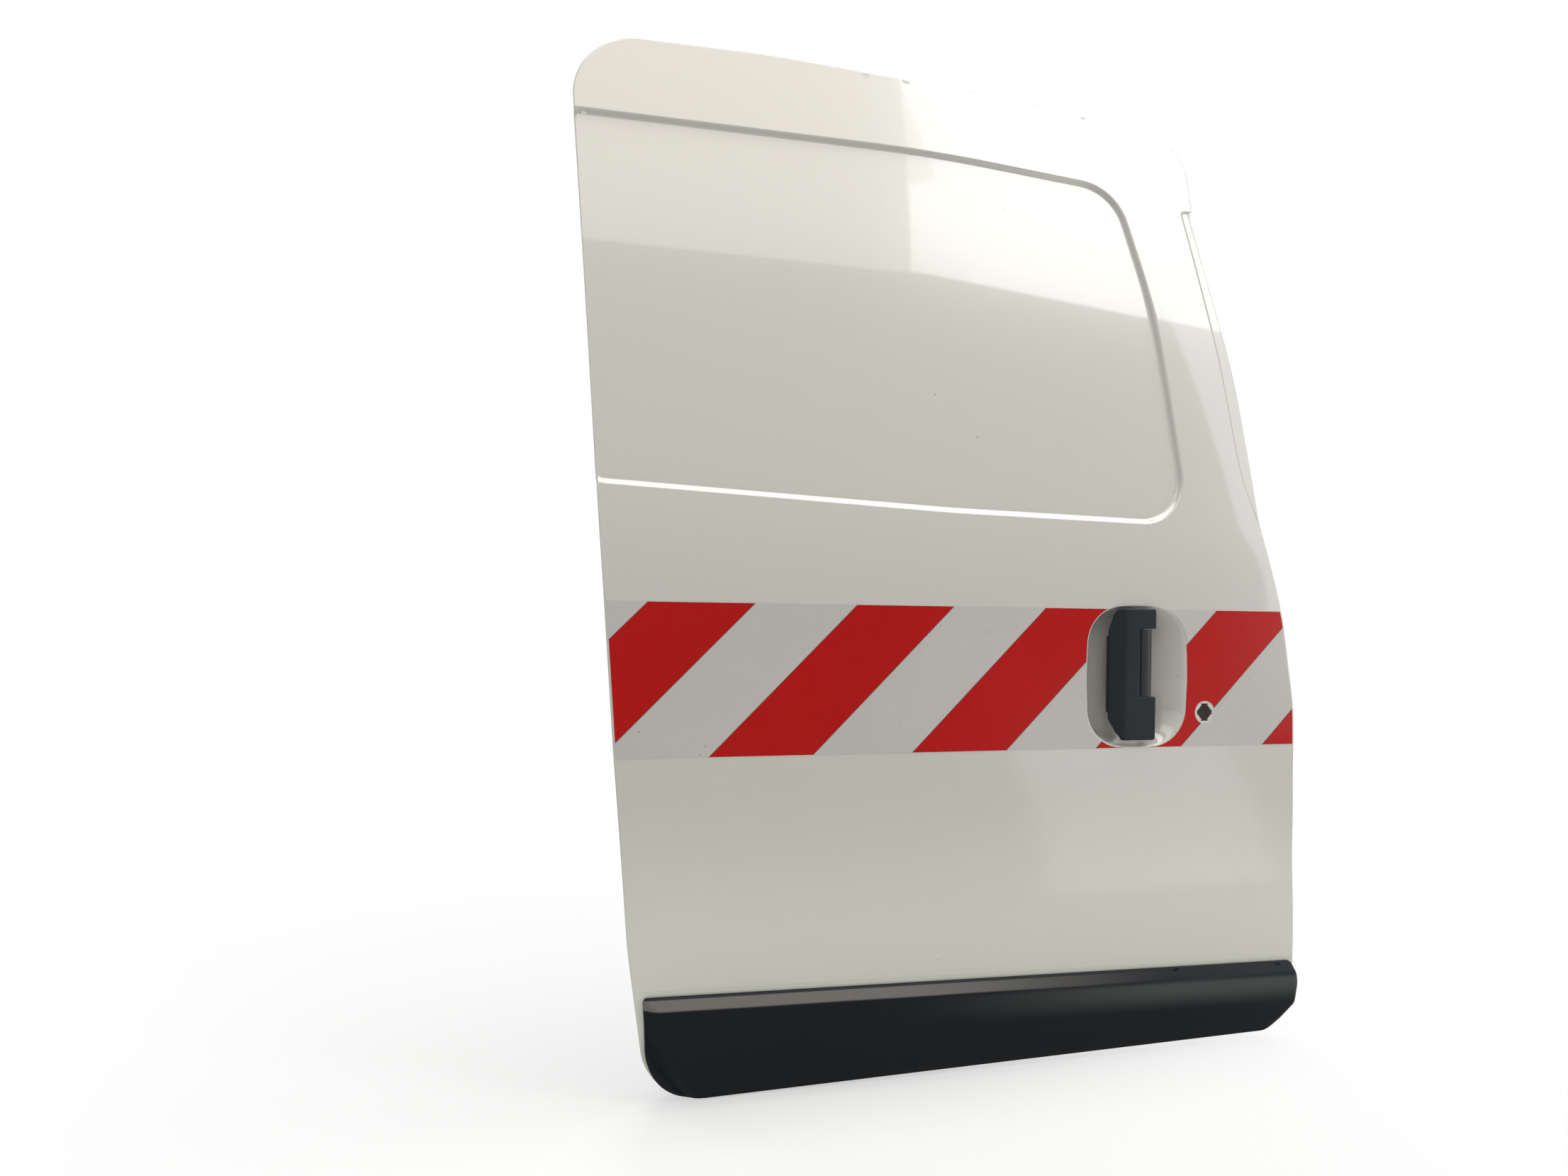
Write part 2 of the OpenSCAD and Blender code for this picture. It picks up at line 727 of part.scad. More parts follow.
// Plate with a tapered pin that centres the front edge in the opening
guide_y = 36;
module guide_pin() {
  plate = 4 * guide_r;
  root = guide_out / 2;
  translate([0, guide_y - plate / 2, -plate * 0.8]) cube([3, plate, plate * 1.6]);
  translate([2, guide_y, 0]) rotate([0, 90, 0]) {
    cylinder(h = root, r = guide_r, $fn = 48);
    translate([0, 0, root]) cylinder(h = root, r1 = guide_r, r2 = guide_r - 3.5, $fn = 48);
  }
}

module guide_pins() color(steel_col) place() {
  seated(front_corners[1], front_corners[2], 0.58, flange_w) guide_pin();
  seated(front_corners[6], front_corners[7], 0.42, flange_w) guide_pin();
}

// Rubber block on the rear edge that takes the door's weight on its side when it shuts
buffer_y = 24;
buffer_w = 26;
module buffer() {
  difference() {
    translate([0, buffer_y, -buffer_h / 2]) cube([buffer_out, buffer_w, buffer_h]);
    for (z = [-buffer_h / 2 - 6, buffer_h / 2 - 8])
      translate([buffer_out - 4, buffer_y - 4, z]) cube([10, buffer_w + 8, 14]);
  }
}

module rubber_buffers() color(black_col) place() {
  seated(rear_corners[2], rear_corners[3], 0.55, flange_w) buffer();
  seated(rear_corners[4], rear_corners[5], 0.5, flange_w) buffer();
}

// Inside release: a bezel on the inner face with a lever in its recess
inside_x = 845;
inside_z = 706;
module inside_plate(w, h, r) {
  polygon(rounded([[inside_x - w / 2, inside_z - h / 2, r], [inside_x + w / 2, inside_z - h / 2, r],
                   [inside_x + w / 2, inside_z + h / 2, r], [inside_x - w / 2, inside_z + h / 2, r]]));
}

module inside_handle_base() color(black_col) place() {
  difference() {
    intersection() {
      along_y(near_y, door_d + inside_d) inside_plate(inside_w, inside_h, 10);
      deeper(door_d);
    }
    along_y(door_d + 4, door_d + 40) inside_plate(inside_w - 12, inside_h - 12, 6);
  }
}

module inside_handle_lever() color(black_col) place() {
  difference() {
    along_y(door_d + 4, door_d + inside_d + 4) inside_plate(inside_w - 26, inside_h - 24, 8);
    along_y(door_d + 3, door_d + inside_d - 1) translate([inside_x - 20, inside_z])
      square([38, inside_h], center = true);
  }
}

// The gasket and the carrier's base reach past the cut-out on every side
slot_z = barrel_z - 10;
base_w = bowl_slot_w + 20;
base_h = bowl_slot_h + 24;
base_x = pin_x - 3 - base_w / 2;
module handle_gasket() color(black_col) place() {
  difference() {
    translate([base_x, bowl_d + skin_t, slot_z - base_h / 2]) cube([base_w, gasket_t, base_h]);
    translate([pin_x - bowl_slot_w / 2, bowl_d, slot_z - bowl_slot_h / 2])
      cube([bowl_slot_w, 10, bowl_slot_h]);
  }
}

// Base behind the bowl with the post that ends in the hinge barrel
module handle_carrier() color(black_col) place() {
  base_y = bowl_d + skin_t + gasket_t;
  difference() {
    union() {
      translate([base_x, base_y, slot_z - base_h / 2]) cube([base_w, carrier_t, base_h]);
      upright(pin_x, pin_y, barrel_z - barrel_h / 2, barrel_z + barrel_h / 2, barrel_r);
      translate([pin_x - barrel_r + 2, pin_y, barrel_z - barrel_h / 2])
        cube([2 * barrel_r - 4, base_y - pin_y + 1, barrel_h]);
    }
    upright(pin_x, pin_y, barrel_z - barrel_h, barrel_z + barrel_h, pin_r + pin_fit);
    // Pocket of the return spring, open to the inside of the door
    upright(pin_x, pin_y, barrel_z - 14, barrel_z + 14, barrel_r - 3);
    translate([pin_x - barrel_r + 4, pin_y, barrel_z - 14]) cube([2 * barrel_r - 8, far_y, 28]);
  }
}

// Section of the grip in x and y: bevelled outside, lipped for the fingers
module grip_section() {
  face = -grip_proud;
  polygon([[grip_left, -1], [grip_left + 22, face], [grip_right - 1, face], [grip_right, face + 1],
           [grip_right, 6], [grip_right - 3, 9], [pin_x - 9, 9], [pin_x - 12, 6],
           [pin_x - 12, face + grip_t], [grip_left + 24, face + grip_t], [grip_left + 8, 3],
           [grip_left + 8, 8], [grip_left + 1, 8]]);
}

module handle_grip() color(black_col) place() {
  z0 = grip_z - grip_h / 2;
  z1 = grip_z + grip_h / 2;
  face = [[grip_left + 20, z0, 4], [grip_right, z0, 3], [grip_right, z1, 3],
          [grip_left + 12, z1, 4], [grip_left, z1 - 31, 4], [grip_left, z0 + 31, 4]];
  difference() {
    intersection() {
      translate([0, 0, z0]) linear_extrude(height = grip_h) grip_section();
      union() {
        along_y(near_y, -2) polygon(rounded(face));
        along_y(-3, far_y) intersection() {
          polygon(rounded(face));
          translate([0, z0 + grip_rim]) square([grip_right, grip_h - 2 * grip_rim]);
        }
      }
    }
    translate([pin_x - barrel_r - barrel_gap, near_y, barrel_z - barrel_h / 2 - barrel_gap])
      cube([60, far_y, barrel_h + 2 * barrel_gap]);
    upright(pin_x, pin_y, z0 + grip_rim + 3, z1 - grip_rim - 3, pin_r + pin_fit);
  }
}

module handle_pin() color(steel_col) place() {
  upright(pin_x, pin_y, grip_z - grip_h / 2 + grip_rim + 3.3, grip_z + grip_h / 2 - grip_rim - 3.3,
          pin_r);
}

// Closed tube round the hinge pin, one ring of points every few degrees
coil_r = pin_r + spring_wire_r + 1;
coil_steps = 16;
coil_sides = 6;
module handle_spring() color(steel_col) place() {
  rings = [for (i = [0:spring_turns * coil_steps])
    let (a = 360 * i / coil_steps, z = barrel_z - 9 + i * 18 / (spring_turns * coil_steps))
    [for (k = [0:coil_sides - 1])
       let (b = -360 * k / coil_sides, r = coil_r + spring_wire_r * cos(b))
       [pin_x + r * cos(a), pin_y + r * sin(a), z + spring_wire_r * sin(b)]]];
  ringed(rings);
}

// Lower moulding, an open-backed shell that follows the skin
function mould_face(z, drop) =
  skin_y(z) - mould_proud * (z < 4 ? 0.35 : z < 14 ? 0.68 : z < 36 ? 0.9 : 1) + drop;
mould_heights = [-20, 4, 14, 36, 70, 110, 160];
mould_x1 = front_foot_x - 21;
mould_outline = [[2 + mould_margin, -3, 84], [front_foot_x - 8, 14, 50],
                 [mould_x1, mould_z - mould_x1 * tan(mould_fall), 8],
                 [0, mould_z, 6], [4, 110, 200]];
// The outline without its front end, for the bevel along the top and round the rear end
bevel_outline = [[2 + mould_margin, -12, 90, 12], [1400, -12, 60, 2],
                 [1400, mould_z - 1400 * tan(mould_fall), 8, 2], [0, mould_z, 6, 3]];
module mould_bevelled(drop) {
  edge = inset(bevel_outline, drop);
  far = 1.6;
  rim = rounded(edge);
  top = rounded(inset(edge, far * mould_bevel));
  rise = far * (mould_proud - mould_edge) + mould_edge;
  ringed([[for (p = top) [p[0], near_y, p[1]]],
          [for (p = top) [p[0], strip_y(p[1]) - rise + drop, p[1]]],
          [for (p = rim) [p[0], strip_y(p[1]) - mould_edge + drop, p[1]]],
          [for (p = rim) [p[0], far_y, p[1]]]]);
}

module mould_body(drop) {
  intersection() {
    along_y(near_y, far_y) polygon(rounded(inset(mould_outline, drop)));
    difference() {
      along_x(-300, 1200) polygon(concat([for (z = mould_heights) [mould_face(z, drop), z]],
        [[far_y, 160], [far_y, -20]]));
      if (drop == 0) deeper(0);
    }
    mould_bevelled(drop);
  }
}

module lower_moulding() color(black_col) place() {
  difference() {
    mould_body(0);
    mould_body(mould_t);
  }
}

// Reflective band, cut away round the bowl and the lock hole
stripe_pitch = 2 * stripe_w * sqrt(2);
band_low = belt_z - band_h;
module stripe(k, w) {
  x = stripe_start + k * stripe_pitch;
  along_y(near_y, far_y)
    polygon([[x, belt_z], [x - band_h, band_low], [x - band_h + w, band_low], [x + w, belt_z]]);
}

module band(offset_x) {
  difference() {
    intersection() {
      layer(-tape_t, 0);
      outline(skin_corners, 3);
      for (k = [-1:4]) translate([offset_x, 0, 0]) stripe(k, stripe_pitch / 2);
    }
    along_y(near_y, far_y) {
      polygon(rounded(inset(bowl_corners, -tape_gap)));
      translate([lock_x, lock_z]) circle(r = 17, $fn = 48);
    }
  }
}

module tape_white() color("whitesmoke") place() { band(stripe_pitch / 2); }

module tape_red() color("firebrick") place() { band(0); }

outer_skin();
inner_panel();
panel_flange();
waist_beam();
crash_tube();
crash_tube_brackets();
skin_brace();
mastic_pads();
centre_hinge_bracket();
upper_arm_bracket();
lower_arm_bracket();
front_latch();
rear_latch();
front_claw();
rear_claw();
guide_pins();
rubber_buffers();
inside_handle_base();
inside_handle_lever();
handle_carrier();
handle_gasket();
handle_grip();
handle_pin();
handle_spring();
lower_moulding();
tape_white();
tape_red();
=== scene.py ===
import math

import bmesh
import bpy
import numpy as np
from mathutils import Euler, Matrix, Quaternion, Vector
from mathutils.geometry import delaunay_2d_cdt


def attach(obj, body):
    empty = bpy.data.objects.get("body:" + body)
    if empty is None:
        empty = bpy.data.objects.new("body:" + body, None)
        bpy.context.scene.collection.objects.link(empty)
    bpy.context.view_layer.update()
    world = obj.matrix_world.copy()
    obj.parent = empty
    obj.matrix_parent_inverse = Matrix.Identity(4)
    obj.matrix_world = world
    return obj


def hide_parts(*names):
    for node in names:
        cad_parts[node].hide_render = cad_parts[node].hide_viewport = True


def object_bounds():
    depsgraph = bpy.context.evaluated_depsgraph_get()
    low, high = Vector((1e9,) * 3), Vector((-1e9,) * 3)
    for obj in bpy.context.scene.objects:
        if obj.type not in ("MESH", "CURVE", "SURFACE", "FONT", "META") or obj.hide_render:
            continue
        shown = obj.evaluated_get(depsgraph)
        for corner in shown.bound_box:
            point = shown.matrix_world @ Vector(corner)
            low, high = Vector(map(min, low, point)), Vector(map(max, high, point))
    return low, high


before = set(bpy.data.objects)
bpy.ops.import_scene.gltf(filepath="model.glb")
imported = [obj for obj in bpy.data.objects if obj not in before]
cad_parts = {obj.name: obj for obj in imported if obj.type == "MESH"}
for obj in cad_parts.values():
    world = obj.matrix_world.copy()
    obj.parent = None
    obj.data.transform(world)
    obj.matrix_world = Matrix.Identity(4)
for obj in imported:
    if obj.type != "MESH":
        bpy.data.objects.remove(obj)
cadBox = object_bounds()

# Drawing coordinates are millimetres: x forward along the door, y into it, z up, with y = 0 on
# the skin at the belt and z = 0 at the foot. The frame's origin lies here in them.
frameOrigin = np.array([28.0, 72.0, 590.0])


def toFrame(points):
    return (np.asarray(points, float) - frameOrigin) / 1000


def place(x, y, z):
    return Vector(toFrame([x, y, z]))


def addObject(name, data):
    obj = bpy.data.objects.new(name, data)
    bpy.context.collection.objects.link(obj)
    return obj


# Camera, at the photograph's place and angle
camera = {"place": (-216.5, -1379.7, 666.8), "turn": (90.716, -0.965, -15.777), "lens": 24.95,
          "sensor": 36, "near": 0.05, "far": 60}


def makeCamera():
    data = bpy.data.cameras.new("camera")
    data.lens = camera["lens"]
    data.sensor_width = camera["sensor"]
    data.dof.use_dof = False
    data.clip_start = camera["near"]
    data.clip_end = camera["far"]
    obj = addObject("camera", data)
    obj.location = place(*camera["place"])
    obj.rotation_euler = Euler([math.radians(a) for a in camera["turn"]])
    bpy.context.scene.camera = obj


makeCamera()
print("camera placed")

# Shape of the skin's section, from the foot to the upper edge
section = {"sillZ": 510, "sillR": 2100, "beltZ": 664, "shoulderR": 900, "lean": 8, "upperR": 6500}


def skinDepth(z):
    z = np.asarray(z, float)
    s = section
    lean = math.radians(s["lean"])
    topZ = s["beltZ"] + s["shoulderR"] * math.sin(lean)
    topY = s["shoulderR"] * (1 - math.cos(lean))
    low = np.clip(s["sillZ"] - z, 0, None)
    mid = np.clip(z - s["beltZ"], 0, topZ - s["beltZ"])
    high = math.sin(lean) + np.clip(z - topZ, 0, None) / s["upperR"]
    y = s["sillR"] - np.sqrt(s["sillR"] ** 2 - low ** 2)
    y = y + s["shoulderR"] - np.sqrt(s["shoulderR"] ** 2 - mid ** 2)
    return np.where(z > topZ, topY + s["upperR"] * (math.cos(lean) - np.sqrt(1 - high ** 2)), y)


# Outlines as corners (x, z, radius), anticlockwise seen from outside
outline = {
    "foot": [(14, -4, 93), (1028, 12, 58)],
    "front": [(1016, 120, 400), (991, 290, 700), (983, 420, 500), (981, 520, 300),
              (960, 652, 300), (931, 765, 30), (926, 790, 60), (905, 1030, 1200)],
    "header": [(857, 1292, 3), (864, 1296, 3), (865, 1428, 85)],
    "plain": [(853, 1428, 85)],
    "rear": [(480, 1453, 2500), (180, 1461, 1500), (-110, 1451, 100),
             (-70, 760, 3000), (-47, 470, 3000), (-22, 215, 900)],
}
skinCorners = outline["foot"] + outline["front"] + outline["header"] + outline["rear"]
frameCorners = outline["foot"] + outline["front"] + outline["plain"] + outline["rear"]
field = {"depth": 7, "slope": 9, "topZ": 1330, "footZ": 795, "frontX": 798}
fieldCorners = [(-280, field["footZ"] + 31, 5), (420, field["footZ"] + 3, 3000),
                (field["frontX"], field["footZ"] - 3, 70), (field["frontX"] - 26, 1120, 900),
                (field["frontX"] - 71, field["topZ"] - 12, 75), (420, field["topZ"] + 8, 2500),
                (-280, field["topZ"] - 3, 5)]
ledge = {"depth": 2.5, "slope": 5, "width": 22}
ledgeCorners = [(938, 752, 4), (1000, 752, 4), (905, 1294, 4), (857 - 0.6 * ledge["width"], 1294, 6),
                (903 - ledge["width"], 1052, 1500), (920 - ledge["width"], 870, 300)]
bowl = {"x": 708, "z": 567, "w": 166, "h": 205, "r": 56, "bow": 4, "depth": 34,
        "left": 18, "right": 48, "end": 17, "floorRound": 0.45}
lock = {"x": 823, "z": 513.5, "r": 11, "notch": 25.5, "side": 0.35, "top": 0.6, "points": 96}


def unit(v):
    return v / np.linalg.norm(v)


def cornerPoints(corners):
    return [np.array(c[:2], float) for c in corners]


def insetCorners(corners, d):
    pts = cornerPoints(corners)
    out = []
    for i, p in enumerate(pts):
        e = unit(p - pts[i - 1])
        f = unit(pts[(i + 1) % len(pts)] - p)
        s = np.array([-e[1], e[0]])
        t = np.array([-f[1], f[0]])
        q = p + d * (s + t) / (1 + s @ t)
        turn = e[0] * f[1] - e[1] * f[0]
        r = corners[i][2]
        if r > 5:
            r = max(r - d if turn > 0 else r + d, 2)
        out.append((q[0], q[1], r))
    return out


def cornerArc(a, b, c, r):
    u = unit(a - b)
    v = unit(c - b)
    half = math.acos(np.clip(u @ v, -1, 1)) / 2
    middle = b + unit(u + v) * r / math.sin(half)
    start = b + u * r / math.tan(half) - middle
    side = -1 if u[0] * v[1] - u[1] * v[0] > 0 else 1
    return middle, math.atan2(start[1], start[0]), side * (math.pi - 2 * half), r


def cornerArcs(corners):
    pts = cornerPoints(corners)
    return [cornerArc(pts[i - 1], p, pts[(i + 1) % len(pts)], corners[i][2])
            for i, p in enumerate(pts)]


# The point after k of an arc's steps
def arcPoint(arc, k=0, steps=1):
    middle, start, turn, r = arc
    a = start + turn * k / steps
    return middle + r * np.array([math.cos(a), math.sin(a)])


# How many steps each arc and each straight between arcs takes, from the widest ring
def planRing(corners, spacing):
    arcs = cornerArcs(corners)
    plan = []
    for i, arc in enumerate(arcs):
        turn = abs(arc[2])
        steps = max(math.ceil(turn * arc[3] / spacing), math.ceil(math.degrees(turn) / 7), 1)
        run = arcPoint(arcs[(i + 1) % len(arcs)]) - arcPoint(arc, 1)
        plan.append((steps, max(math.ceil(np.linalg.norm(run) / spacing), 1)))
    return plan


def ring(corners, d, plan):
    arcs = cornerArcs(insetCorners(corners, d))
    out = []
    for i, (steps, straight) in enumerate(plan):
        out += [arcPoint(arcs[i], k, steps) for k in range(steps + 1)]
        last = out[-1]
        start = arcPoint(arcs[(i + 1) % len(arcs)])
        out += [last + (start - last) * k / straight for k in range(1, straight)]
    return np.array(out)


# A ring that no other ring has to match
def loneRing(corners, spacing, d=0):
    return ring(corners, d, planRing(corners, spacing))


def rectangle(x0, z0, x1, z1, r):
    return [(x0, z0, r), (x1, z0, r), (x1, z1, r), (x0, z1, r)]


def inside(points, loop):
    x, z = points[:, 0], points[:, 1]
    hit = np.zeros(len(points), bool)
    a = loop
    b = np.roll(loop, -1, axis=0)
    for (ax, az), (bx, bz) in zip(a, b):
        if az == bz:
            continue
        crosses = (az > z) != (bz > z)
        hit ^= crosses & (x < (bx - ax) * (z - az) / (bz - az) + ax)
    return hit


def distanceTo(points, loop, closed=True):
    best = np.full(len(points), 1e9)
    b = np.roll(loop, -1, axis=0)
    count = len(loop) if closed else len(loop) - 1
    for i in range(count):
        p, q = loop[i], b[i]
        d = q - p
        t = np.clip(((points - p) @ d) / max(d @ d, 1e-9), 0, 1)
        best = np.minimum(best, np.hypot(*(points - p - t[:, None] * d).T))
    return best


def signedInside(points, loop):
    d = distanceTo(points, loop)
    return np.where(inside(points, loop), d, -d)


def smooth(t):
    t = np.clip(t, 0, 1)
    return t * t * (3 - 2 * t)


fieldLoop = loneRing(fieldCorners, 12)
ledgeLoop = loneRing(ledgeCorners, 12)


# Depth of the pressed outer face, without the bowl
def faceDepth(points):
    points = np.asarray(points, float)
    y = skinDepth(points[:, 1])
    run = signedInside(points, fieldLoop) / field["slope"] + 0.5
    y = y + field["depth"] * smooth(run)
    run = signedInside(points, ledgeLoop) / ledge["slope"] + 0.5
    fade = smooth((points[:, 1] - 752) / 60)
    return y + ledge["depth"] * smooth(run) * fade


# Mesh helpers
def newMesh(name, verts, faces):
    mesh = bpy.data.meshes.new(name)
    mesh.from_pydata([tuple(v) for v in verts], [], [tuple(int(i) for i in f) for f in faces])
    mesh.validate()
    mesh.polygons.foreach_set("use_smooth", [True] * len(mesh.polygons))
    mesh.update()
    return addObject(name, mesh)


def applied(obj):
    graph = bpy.context.evaluated_depsgraph_get()
    mesh = bpy.data.meshes.new_from_object(obj.evaluated_get(graph))
    obj.modifiers.clear()
    old = obj.data
    obj.data = mesh
    bpy.data.meshes.remove(old)
    return obj


# Triangulates the region inside a loop, with holes, extra guide lines and loose points
def fillRegion(loop, holes=(), guides=(), loose=None):
    verts = []
    edges = []

    def addLine(points, closed):
        first = len(verts)
        verts.extend(points)
        n = len(points)
        for i in range(n if closed else n - 1):
            edges.append((first + i, first + (i + 1) % n))

    addLine(loop, True)
    for hole in holes:
        addLine(hole, True)
    for guide in guides:
        addLine(guide, False)
    if loose is not None and len(loose):
        verts.extend(loose)
    coords = [Vector((float(p[0]), float(p[1]))) for p in verts]
    out, _, faces, _, _, _ = delaunay_2d_cdt(coords, edges, [], 0, 1e-4)
    out = np.array([(v.x, v.y) for v in out])
    faces = np.array(faces)
    middle = out[faces].mean(axis=1)
    keep = inside(middle, loop)
    for hole in holes:
        keep &= ~inside(middle, hole)
    faces = faces[keep]
    a, b, c = (out[faces[:, k]] for k in range(3))
    area = (b[:, 0] - a[:, 0]) * (c[:, 1] - a[:, 1]) - (b[:, 1] - a[:, 1]) * (c[:, 0] - a[:, 0])
    faces[area < 0] = faces[area < 0][:, ::-1]
    return out, faces[np.abs(area) > 1e-7]


# A staggered field of points that keeps off the given lines
def scatter(loop, spacing, keepOff):
    low = loop.min(axis=0)
    high = loop.max(axis=0)
    rows = np.arange(low[1], high[1], spacing * 0.866)
    points = []
    for k, z in enumerate(rows):
        xs = np.arange(low[0] + (k % 2) * spacing / 2, high[0], spacing)
        points.append(np.column_stack([xs, np.full(len(xs), z)]))
    points = np.vstack(points)
    points = points[inside(points, loop)]
    for line, gap, closed in keepOff:
        points = points[distanceTo(points, line, closed) > gap]
    return points


# Runs of a closed line that lie inside a loop, as open guides
def clippedRuns(line, loop, gap):
    keep = inside(line, loop) & (distanceTo(line, loop) > gap)
    runs = []
    current = []
    for p, k in zip(line, keep):
        if k:
            current.append(p)
        elif current:
            runs.append(np.array(current))
            current = []
    if current:
        if keep[0] and runs:
            runs[0] = np.vstack([np.array(current), runs[0]])
        else:
            runs.append(np.array(current))
    return [r for r in runs if len(r) > 2]


def ringRow(points, depth):
    return np.column_stack([points[:, 0], np.broadcast_to(depth, len(points)), points[:, 1]])


# Normals of a height surface, pointing out of the door
def depthNormals(points, depth, step=0.4):
    dx = (depth(points + [step, 0]) - depth(points - [step, 0])) / (2 * step)
    dz = (depth(points + [0, step]) - depth(points - [0, step])) / (2 * step)
    n = np.column_stack([dx, -np.ones(len(dx)), dz])
    return n / np.linalg.norm(n, axis=1)[:, None]


# Normals of a surface made of closed rows of points
def rowNormals(rows):
    grid = np.array(rows)
    along = np.roll(grid, -1, axis=1) - np.roll(grid, 1, axis=1)
    across = np.gradient(grid, axis=0)
    n = np.cross(along, across)
    return n / np.maximum(np.linalg.norm(n, axis=2), 1e-9)[:, :, None]


# One piece's points and faces in drawing millimetres; points that meet are one
class Shape:
    def __init__(self):
        self.seen = {}
        self.points = []
        self.faces = []
        self.normals = []

    def index(self, points):
        out = []
        for p in points:
            key = tuple(round(float(c) * 1000) for c in p)
            if key not in self.seen:
                self.seen[key] = len(self.points)
                self.points.append(tuple(p))
            out.append(self.seen[key])
        return out

    def face(self, corners, normals=None):
        keep = [k for k, c in enumerate(corners) if c not in corners[:k]]
        if len(keep) > 2:
            self.faces.append([corners[k] for k in keep])
            self.normals.append(None if normals is None else [normals[k] for k in keep])

    def patch(self, points, faces, normals=None, flip=False):
        index = self.index(points)
        for f in faces:
            f = list(f)[::-1] if flip else list(f)
            self.face([index[k] for k in f], None if normals is None else [normals[k] for k in f])

    # Closes a loop with a surface of the given depth, with points inside it where spacing is given
    def cap(self, loop, depth, spacing=0, gap=0, curved=False, flip=False):
        loose = scatter(loop, spacing, [(loop, gap, True)]) if spacing else None
        flat, faces = fillRegion(loop, loose=loose)
        normals = depthNormals(flat, depth) if curved else None
        self.patch(ringRow(flat, depth(flat)), faces, normals, flip)

    # Joins closed rows, each smaller than the one before unless outward is set
    def rows(self, rows, normals=None, outward=False):
        index = [list(r) if isinstance(r[0], (int, np.integer)) else self.index(r) for r in rows]
        n = len(index[0])
        for k in range(len(index) - 1):
            for i in range(n):
                j = (i + 1) % n
                quad = [(k, i), (k, j), (k + 1, j), (k + 1, i)]
                if outward:
                    quad.reverse()
                given = None if normals is None else [normals[a][b] for a, b in quad]
                self.face([index[a][b] for a, b in quad], given)

    # Gives the surface so far a back, and walls round its openings but not round the skipped row
    def back(self, thickness, skip=()):
        count = len(self.points)
        pts = np.array(self.points)
        total = np.zeros((count, 3))
        for corners, given in zip(self.faces, self.normals):
            if given is None:
                v = pts[corners]
                given = [unit(sum(np.cross(v[k] - v[0], v[(k + 1) % len(v)] - v[0])
                                  for k in range(len(v))) + 1e-12)] * len(corners)
            for k, n in zip(corners, given):
                total[k] += n
        total /= np.maximum(np.linalg.norm(total, axis=1), 1e-9)[:, None]
        self.points += [tuple(p) for p in pts - total * thickness]
        edges = {(f[k], f[(k + 1) % len(f)]) for f in self.faces for k in range(len(f))}
        for corners, given in list(zip(self.faces, self.normals)):
            turned = None if given is None else [-np.array(n) for n in given[::-1]]
            self.face([c + count for c in corners[::-1]], turned)
        skip = set(skip)
        for a, b in edges:
            if (b, a) not in edges and not (a in skip and b in skip):
                self.face([b, a, a + count, b + count])
        return count

    def mesh(self, name, sharp=38):
        obj = newMesh(name, toFrame(self.points), self.faces)
        obj.data.set_sharp_from_angle(angle=math.radians(sharp))
        loops = []
        for f, given in zip(self.faces, self.normals):
            loops += [(0, 0, 0)] * len(f) if given is None else [tuple(n) for n in given]
        if any(given is not None for given in self.normals):
            obj.data.normals_split_custom_set(loops)
        return obj


# Outer skin: face, bowl, lock hole, folded hem and back
skin = {"thickness": 1.2, "edge": 1.8, "hem": 11, "spacing": 7, "grid": 15,
        "fieldLines": (-6, -4.5, -3, -1.5, 0, 1.5, 3, 4.5, 6), "ledgeLines": (-3, -2, -1, 0, 1, 2, 3)}
bowlProfile = [(-0.06, 0), (-0.03, 0.004), (0, 0.014), (0.03, 0.03), (0.06, 0.052), (0.1, 0.086),
               (0.16, 0.148), (0.23, 0.224), (0.32, 0.33), (0.42, 0.45), (0.52, 0.572),
               (0.61, 0.68), (0.69, 0.773), (0.76, 0.848), (0.82, 0.904), (0.87, 0.943),
               (0.92, 0.973), (0.96, 0.991), (1.0, 1.0)]
slotCorners = rectangle(699, 515, 737, 639, 5)


def bowlCorners():
    b = bowl
    left, right = b["x"] - b["w"] / 2, b["x"] + b["w"] / 2
    low, high = b["z"] - b["h"] / 2, b["z"] + b["h"] / 2
    k = b["bow"]
    return [(left + k, low + k, b["r"]), (b["x"], low, 300), (right - k, low + k, b["r"]),
            (right, b["z"], 400), (right - k, high - k, b["r"]), (b["x"], high, 300),
            (left + k, high - k, b["r"]), (left, b["z"], 400)]


bowlPlan = planRing(bowlCorners(), 5)


# A ring of the bowl, s of the way from its rim to its floor
def bowlRing(s):
    b = bowl
    middle = b["x"] + s * (b["left"] - b["right"]) / 2
    wide = 1 - s * (b["left"] + b["right"]) / b["w"]
    tall = 1 - s * 2 * b["end"] / b["h"]
    corners = [(middle + (x - b["x"]) * wide, b["z"] + (z - b["z"]) * tall,
                r * (1 - b["floorRound"] * max(s, 0))) for x, z, r in bowlCorners()]
    return ring(corners, 0, bowlPlan)


# Round hole with a lobe to each side, above and below
def lockLoop(grow=0):
    r = lock["r"] + grow
    reach = lock["notch"] / 2 + grow
    side = lock["side"] * lock["r"] + 0.5 * grow
    top = lock["top"] * lock["r"] + 0.5 * grow
    pts = []
    for k in range(lock["points"]):
        a = math.radians(k * 360 / lock["points"])
        c, s = abs(math.cos(a)), abs(math.sin(a))
        far = r
        if c > 0.5 and reach * s / c < side:
            far = reach / c
        if s > 0.5 and reach * c / s < top:
            far = reach / s
        pts.append((lock["x"] + max(far, r) * math.cos(a), lock["z"] + max(far, r) * math.sin(a)))
    return np.array(pts)


